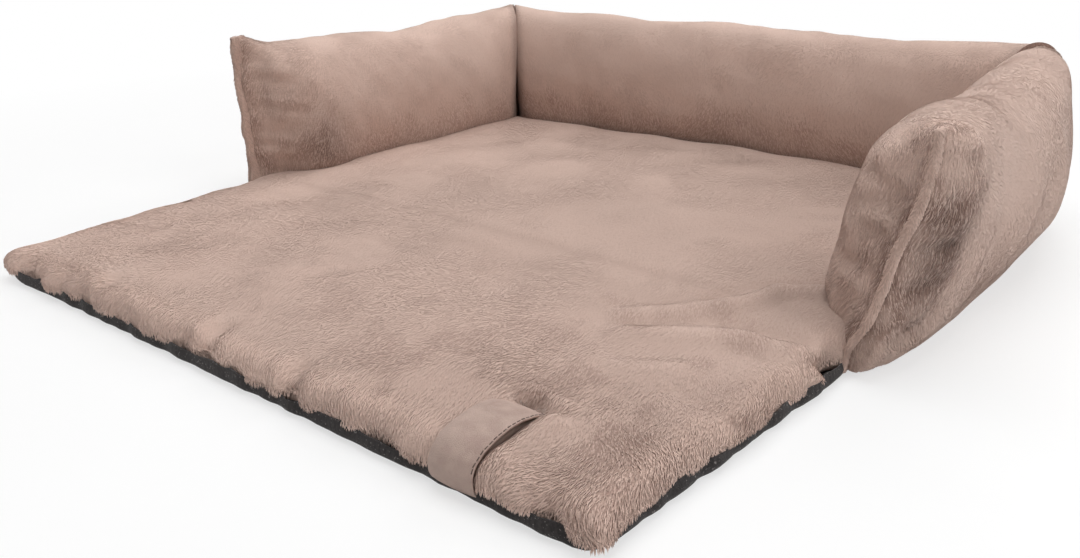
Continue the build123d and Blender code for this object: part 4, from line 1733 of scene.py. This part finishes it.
@dataclass
class LabelStrap:
    """The plain leather band over the flap's front edge, sewn down at its inner end.

    Attributes:
        centre_x, width, thickness: its place and its measures.
        arch: how far its middle bows off the flap.
        sink: how far it presses into the pile.
        line: its course from under the flap to its inner end, as pairs of Y and Z.
        rows: its faces along that course.
        slope_reach: how far each way its slope is measured.
        stitch_count, end_stitches: the stitches along its right edge and across its end.
        stitch_length, stitch_width: a stitch's measures.
        edge_margin: how far from the edge the stitches are.
    """

    centre_x: float = 0.288
    width: float = 0.0435
    thickness: float = 0.0018
    arch: float = 0.0030
    sink: float = 0.0022
    line: Sequence[tuple[float, float]] = (
        (-0.4700, 0.0022),
        (-0.4850, 0.0026),
        (-0.4925, 0.0060),
        (-0.4965, 0.0140),
        (-0.4970, 0.0240),
        (-0.4925, 0.0340),
        (-0.4830, 0.0415),
        (-0.4690, 0.0455),
        (-0.4540, 0.0470),
        (-0.4390, 0.0465),
        (-0.4260, 0.0440),
        (-0.4150, 0.0395),
        (-0.4090, 0.0350),
    )
    rows: int = 44
    slope_reach: float = 0.004
    stitch_count: int = 18
    end_stitches: int = 8
    stitch_length: float = 0.0034
    stitch_width: float = 0.0009
    edge_margin: float = 0.0014

    def surface(self, across: Points, along: Points) -> tuple[Points, Points]:
        """The strap's outer face.

        Args:
            across: from -1, the left edge, to 1, the right edge.
            along: from 0, under the flap, to 1, the inner end.

        Returns:
            The points there and the outward normals.
        """
        line = np.array(self.line)
        steps = np.concatenate([[0], np.cumsum(np.linalg.norm(np.diff(line, axis=0), axis=1))])
        at = along * steps[-1]
        y, z = (np.interp(at, steps, line[:, i]) for i in range(2))
        z = z - self.sink * ease(0.02, 0.04, z)
        ahead, behind = at + self.slope_reach, at - self.slope_reach
        dy, dz = (
            np.interp(ahead, steps, line[:, i]) - np.interp(behind, steps, line[:, i])
            for i in range(2)
        )
        out = unit(np.stack([np.zeros(len(y)), -dz, dy], 1))
        bow = self.arch * (1 - across**2) * ease(0.08, 0.3, along) * ease(1.02, 0.85, along)
        wave = 0.0003 * np.sin(along * 19 + across * 1.3) * ease(0.1, 0.4, along)
        x = self.centre_x + across * self.width / 2 * (1 - 0.05 * ease(0.86, 1.0, along))
        x = x + 0.0006 * np.sin(along * 5.0)
        return np.stack([x, y, z], 1) + out * (bow + wave)[:, None], out

    def make(self, leather: Material, thread: Material) -> None:
        """Shape the band, round its edges and sew its stitches."""
        band = new_grid("label_strap_leather", 10, self.rows)
        points = read_points(band)
        places, _ = self.surface(points[:, 0] * 2, points[:, 1] + 0.5)
        write_points(band, places)
        modify(band, "leather", "SOLIDIFY", thickness=self.thickness, offset=-1)
        modify(band, "cut_edge", "BEVEL", width=0.0004, segments=2, angle_limit=math.radians(60))
        modify(band, "smooth", "SUBSURF", levels=1, render_levels=1)
        apply_modifiers(band)
        shade_smooth(band)
        settle(band, FLAP, leather)
        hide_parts("label_strap")
        self.sew(thread)

    def sew(self, thread: Material) -> None:
        """Sew the right edge and the inner end with short threads, sunk at both ends."""
        edge = 1 - 2 * self.edge_margin / self.width
        along = np.linspace(0.34, 0.955, self.stitch_count)
        across = np.linspace(-0.85, 0.85, self.end_stitches)
        rows = (
            (np.full(len(along), edge), along, (0.0, 0.01)),
            (across, np.full(len(across), 0.965), (0.05, 0.0)),
        )
        stitches = []
        for across, along, step in rows:
            places, outs = self.surface(across, along)
            aheads = self.surface(across + step[0], along + step[1])[0] - places
            for place, out, ahead in zip(places, outs, unit(aheads)):
                bpy.ops.mesh.primitive_cylinder_add(
                    vertices=8, radius=self.stitch_width / 2, depth=self.stitch_length
                )
                stitch = bpy.context.object
                self.round_ends(stitch)
                points = read_points(stitch)
                sag = 0.35 * self.stitch_width * (2 * points[:, 2] / self.stitch_length) ** 2
                axes = np.stack([np.cross(ahead, out), out, ahead])
                write_points(stitch, points @ axes + place + out * (0.0002 - sag)[:, None])
                stitches.append(stitch)
        select_only(*stitches)
        bpy.ops.object.join()
        row = bpy.context.view_layer.objects.active
        row.name = row.data.name = "label_strap_stitches"
        shade_smooth(row)
        settle(row, FLAP, thread)
        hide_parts("label_stitching")

    def round_ends(self, stitch: Piece) -> None:
        """Draw in a stitch's two end faces."""
        with editing(stitch, "DESELECT"):
            bpy.ops.mesh.select_mode(type="FACE")
        for polygon in stitch.data.polygons:
            polygon.select = abs(polygon.normal.z) > 0.9
        bpy.ops.object.mode_set(mode="EDIT")
        bpy.ops.mesh.inset(thickness=self.stitch_width * 0.22, depth=self.stitch_width * 0.25)
        bpy.ops.object.mode_set(mode="OBJECT")


# The rear zip and care label


def rear_way(rise: Vector) -> Vector:
    """The way square to X and to a rising way, toward the rear."""
    out = rise.cross(Vector((-1, 0, 0)))
    return -out if out.y < 0 else out


@dataclass
class RearZip:
    """The zip low on the back cover's rear: woven tapes, moulded teeth, stops, slider and pull.

    Attributes:
        tooth: a tooth's measures along, up and out.
        pitch: how far apart a row's teeth are.
        bevel: how far the metal's edges are rounded.
        tape_bevel: how far the tapes' are.
    """

    tooth: tuple[float, float, float] = (0.0011, 0.0021, 0.0016)
    pitch: float = 0.0020
    bevel: float = 0.00035
    tape_bevel: float = 0.00025

    def make(self, finishes: dict[str, Material]) -> None:
        """Model the teeth and round the tapes and the metal parts."""
        tapes = ("zip_upper_tape", "zip_lower_tape")
        for name in tapes:
            self.rounded(name, BED, "zip_tape", finishes["tape"], self.tape_bevel)
        upper, lower = (self.centre(name) for name in tapes)
        rise = (upper - lower).normalized()
        out = rear_way(rise)
        for name, sign in (("zip_upper_teeth", 1), ("zip_lower_teeth", -1)):
            self.teeth(name, sign, rise, out, finishes["teeth"])
        for name, body in (
            ("zip_end_stops", BED), ("zip_slider", "zip_slider"), ("zip_pull", "zip_pull")
        ):
            self.rounded(name, body, "zip_metal", finishes["metal"], self.bevel)

    def centre(self, node: str) -> Vector:
        """The middle of a CAD node's box."""
        low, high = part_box(node)
        return (low + high) / 2

    def teeth(self, node: str, sign: int, rise: Vector, out: Vector, finish: Material) -> None:
        """One row of teeth, each a waisted block, set half a pitch from the other row's."""
        bpy.ops.mesh.primitive_cube_add(size=1)
        tooth = bpy.context.object
        tooth.name = tooth.data.name = node + "_row"
        tooth.scale = self.tooth
        bpy.ops.object.transform_apply(location=False, rotation=False, scale=True)
        modify(tooth, "moulded", "BEVEL", width=0.0003, segments=1)
        low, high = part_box(node)
        modify(
            tooth,
            "row",
            "ARRAY",
            count=int((high.x - low.x) / self.pitch) - 1,
            use_relative_offset=False,
            use_constant_offset=True,
            constant_offset_displace=(self.pitch, 0, 0),
        )
        apply_modifiers(tooth)
        points = read_points(tooth)
        start = low.x + self.pitch * (0.6 if sign > 0 else 1.1)
        middle = np.array(self.centre(node))
        middle[0] = 0
        axes = np.array([(1, 0, 0), tuple(rise), tuple(out)])
        points[:, 0] += start
        points[:, 1] -= sign * 0.0003
        write_points(tooth, points @ axes + middle)
        face_out(tooth)
        shade_smooth(tooth, 40)
        settle(tooth, BED, finish)
        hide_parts(node)

    def rounded(self, node: str, body: str, slot: str, finish: Material, width: float) -> None:
        """A copy of a CAD node, all its solids, with rounded edges."""
        piece = new_object(node + "_rounded", frame["nodes"][node].data.copy())
        with editing(piece):
            bpy.ops.mesh.remove_doubles(threshold=1e-5)
            bpy.ops.mesh.dissolve_limited(angle_limit=math.radians(2))
        modify(piece, "rounded", "BEVEL", width=width, segments=2, angle_limit=math.radians(40))
        apply_modifiers(piece)
        shade_smooth(piece, 35)
        settle(piece, body, finish)
        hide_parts(node)


@dataclass
class CareLabel:
    """A small blank cloth label at the rear, curved a little off the cover."""

    width: float = 0.030
    height: float = 0.038
    thickness: float = 0.0005
    bow: float = 0.003

    def make(self, finish: Material) -> None:
        """Shape the label between its sewn top and its free foot."""
        low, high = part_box("care_label")
        run = Vector((0, high.y - low.y, high.z - low.z)).normalized()
        out = rear_way(run)
        label = new_grid("care_label_cloth", 8, 12)
        points = read_points(label)
        across, along = points[:, 0], points[:, 1]
        curl = 0.003 + self.bow * (0.5 - along) * 0.5 + 0.0012 * np.sin(across * 5) * (0.5 - along)
        middle = np.array((low + high) / 2)
        places = middle + np.outer(along * self.height, run) + np.outer(curl, out)
        places[:, 0] += across * self.width
        write_points(label, places)
        modify(label, "cloth", "SOLIDIFY", thickness=self.thickness, offset=0)
        apply_modifiers(label)
        face_out(label)
        shade_smooth(label, 40)
        settle(label, BED, finish)
        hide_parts("care_label")


# The studio


@dataclass
class Studio:
    """The camera, the soft lights, the pale floor and the surroundings.

    Attributes:
        camera_place, yaw, pitch, roll, lens: the camera's place, its angles and its lens.
        lamps: each lamp's name, place, size and power.
        sky_strength: how much light comes from all round.
        white_near: how white the floor looks to the camera beside the bed.
    """

    camera_place: tuple[float, float, float] = (0.7101, -0.9075, 0.3951)
    yaw: float = 0.687
    pitch: float = 0.374
    roll: float = -0.014
    lens: float = 32.48
    lamps: Sequence[tuple[str, tuple[float, float, float], float, float]] = (
        ("right", (2.4, 0.0, 1.5), 1.6, 27),
        ("front", (0.0, -2.4, 1.5), 1.6, 12),
        ("overhead", (0.0, 0.0, 2.6), 2.4, 44),
        ("rear", (0.0, 2.2, 2.0), 1.6, 30),
        ("left", (-2.4, 0.0, 1.5), 1.6, 13),
    )
    sky_strength: float = 0.04
    white_near: float = 0.62

    def build(self) -> None:
        """Set up all of it."""
        self.add_camera()
        self.add_lights()
        self.add_floor()
        self.add_sky()
        bpy.context.scene.view_settings.view_transform = "Standard"

    def add_camera(self) -> None:
        """Set the camera at the photograph's place and angle."""
        yaw, pitch = self.yaw, self.pitch
        right = Vector((math.cos(yaw), math.sin(yaw), 0))
        forward = Vector(
            (-math.sin(yaw) * math.cos(pitch), math.cos(yaw) * math.cos(pitch), -math.sin(pitch))
        )
        up = right.cross(forward)
        rolled_right = right * math.cos(self.roll) + up * math.sin(self.roll)
        rolled_up = up * math.cos(self.roll) - right * math.sin(self.roll)
        camera = bpy.data.cameras.new("camera")
        camera.lens = self.lens
        camera.sensor_width = 36
        camera.clip_start = 0.02
        holder = new_object("camera", camera)
        turn = Matrix((rolled_right, rolled_up, -forward)).transposed()
        holder.matrix_world = Matrix.Translation(self.camera_place) @ turn.to_4x4()
        bpy.context.scene.camera = holder

    def add_lights(self) -> None:
        """Set wide soft lamps round the bed and over it."""
        for name, place, size, watts in self.lamps:
            lamp = bpy.data.lights.new(name, "AREA")
            lamp.size = size
            lamp.energy = watts
            aim = Vector((0, 0, 0.1)) - Vector(place)
            turn = aim.to_track_quat("-Z", "Y").to_matrix().to_4x4()
            new_object(name, lamp).matrix_world = Matrix.Translation(place) @ turn

    def add_floor(self) -> None:
        """A pale floor that keeps the bed's soft shadow."""
        bpy.ops.mesh.primitive_plane_add(size=12, location=(0, 0, -0.0004))
        floor = bpy.context.object
        floor.name = "studio_floor"
        nodes = Nodes("studio_floor")
        nodes.colour(nodes.ramp(nodes.noise(3), (0.3, (247, 247, 247)), (0.7, (250, 250, 250))))
        nodes.set(Roughness=0.9, Specular_IOR_Level=0.0)
        self.whiten(nodes)
        floor.data.materials.append(nodes.material)

    def whiten(self, nodes: Nodes) -> None:
        """Show the floor as white paper to the camera, most away from the bed."""
        distance = nodes.add("VectorMath", operation="LENGTH")
        nodes.link(nodes.place(), distance.inputs[0])
        away = nodes.spread(distance.outputs["Value"], 0.6, 1.6, self.white_near, 1.0)
        seen = nodes.math("MULTIPLY", nodes.add("LightPath").outputs["Is Camera Ray"], away)
        glow = nodes.add("Emission", Color=WHITE)
        nodes.mix_shaders(seen, nodes.shader.outputs[0], glow.outputs[0], "Material Output")

    def add_sky(self) -> None:
        """Even pale light from all round, and white where the camera sees past the floor."""
        world = bpy.data.worlds.new("surroundings")
        bpy.context.scene.world = world
        world.use_nodes = True
        tree = Tree(world.node_tree)
        plain = tree.tree.nodes["Background"]
        plain.inputs["Strength"].default_value = self.sky_strength
        plain.inputs["Color"].default_value = WHITE
        seen = tree.add("Background", Color=WHITE, Strength=1.0)
        path = tree.add("LightPath")
        either = tree.add("Math", operation="MAXIMUM")
        tree.link(path.outputs["Is Camera Ray"], either.inputs[0])
        tree.link(path.outputs["Is Glossy Ray"], either.inputs[1])
        tree.mix_shaders(either.outputs[0], plain.outputs[0], seen.outputs[0], "World Output")


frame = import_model()


def log_triangles() -> None:
    """Log how many triangles the bed's own pieces have together."""
    total = 0
    for piece in bpy.context.scene.objects:
        if piece.type == "MESH" and not piece.hide_render:
            piece.data.calc_loop_triangles()
            total += len(piece.data.loop_triangles)
    LOG.info("triangles in all: %d", total)


def make_bolsters() -> tuple[Arm, Arm, RearBolster]:
    """Describe the left arm, the right arm and the back."""
    left = Arm(
        "left_arm_cushion",
        ("left_arm_cover", "left_arm_inner_bag", "left_arm_filling"),
        41,
        nap=Nap(seed=12),
        side=Side.LEFT,
        out=((0.0, -0.019), (0.05, -0.020), (0.22, -0.032)),
        back=0.010,
        ear=0.0065,
        # Painted light low on the front end; painted shade low on the inner side; small parted
        # patches by the seam.
        spots=(
            Spot((-0.430, -0.122, 0.050), 0.040, 0.12),
            Spot((-0.436, -0.134, 0.130), 0.030, 0.06),
            Spot((-0.369, -0.060, 0.080), 0.046, -0.27, 0.35),
            Spot((-0.408, -0.116, 0.150), 0.014, -0.08, 0.30),
            Spot((-0.413, -0.115, 0.183), 0.010, -0.08, 0.30),
        ),
    )
    right = Arm(
        "right_arm_cushion",
        ("right_arm_cover", "right_arm_inner_bag", "right_arm_filling"),
        51,
        nap=Nap(seed=13),
        side=Side.RIGHT,
        out=((0.0, -0.016), (0.03, -0.015), (0.09, -0.0035), (0.17, 0.006), (0.22, 0.003)),
        top_back=0.030,
        foot_full=0.012,
        # A dark parted nap patch behind the seam on the outer side; two lighter spots low on the
        # inner front; the lighter spots on the top are painted light.
        spots=(
            Spot((0.487, -0.096, 0.128), 0.036, -0.31, 0.95),
            Spot((0.478, -0.108, 0.085), 0.032, -0.16, 0.70),
            Spot((0.466, -0.120, 0.050), 0.028, -0.05, 0.45),
            Spot((0.480, -0.108, 0.165), 0.022, -0.05, 0.40),
            Spot((0.462, -0.124, 0.194), 0.009, -0.06, 0.50),
            Spot((0.424, -0.110, 0.098), 0.012, -0.04, 0.30),
            Spot((0.412, -0.110, 0.059), 0.020, 0.12),
            Spot((0.434, -0.117, 0.086), 0.011, 0.12),
            Spot((0.470, -0.075, 0.216), 0.040, 0.08),
            Spot((0.425, -0.060, 0.205), 0.040, 0.06),
        ),
    )
    back = RearBolster(
        "back_cushion",
        ("back_cover", "back_inner_bag", "back_filling"),
        61,
        nap=Nap(seed=14),
        # Painted shade: the back's pile is a little darker as a whole.
        tone=0.965,
    )
    return left, right, back


def main() -> None:
    """Build and dress each part of the bed."""
    logging.basicConfig(level=logging.INFO, format="%(message)s")
    Studio().build()
    fur = FurFinish().make()
    mat = PlushMat()
    mat.build()
    mat.dress(fur)
    left, right, back = make_bolsters()
    for bolster in (left, right, back):
        bolster.build()
        bolster.dress(fur)
    for arm, node in ((left, "left_arm_end_welt"), (right, "right_arm_end_welt")):
        welt = EndWelt(arm, node)
        welt.build()
        welt.dress(fur)
    for node in ("left_corner_seam", "right_corner_seam"):
        CornerSeam(node).make(fur)
    BaseCloth().make(
        WovenFinish("dark_base_cloth", (38, 35, 35), (66, 61, 60), 1100, (128, 122, 120)).make()
    )
    LabelStrap().make(
        LeatherFinish().make(), SmoothFinish("dark_thread", (74, 58, 52), (96, 78, 70), 0.7).make()
    )
    RearZip().make(
        {
            "tape": WovenFinish("zip_tape", (150, 124, 113), (178, 152, 141), 1600).make(),
            "teeth": SmoothFinish("zip_teeth", (120, 98, 89), (140, 117, 107), 0.35).make(),
            "metal": SmoothFinish("zip_metal", (150, 145, 140), (186, 181, 175), 0.32, 1.0).make(),
        }
    )
    CareLabel().make(WovenFinish("care_label_cloth", (214, 209, 203), (236, 232, 227), 2200).make())
    bpy.context.view_layer.update()
    log_triangles()


if __name__ == "__main__":
    main()
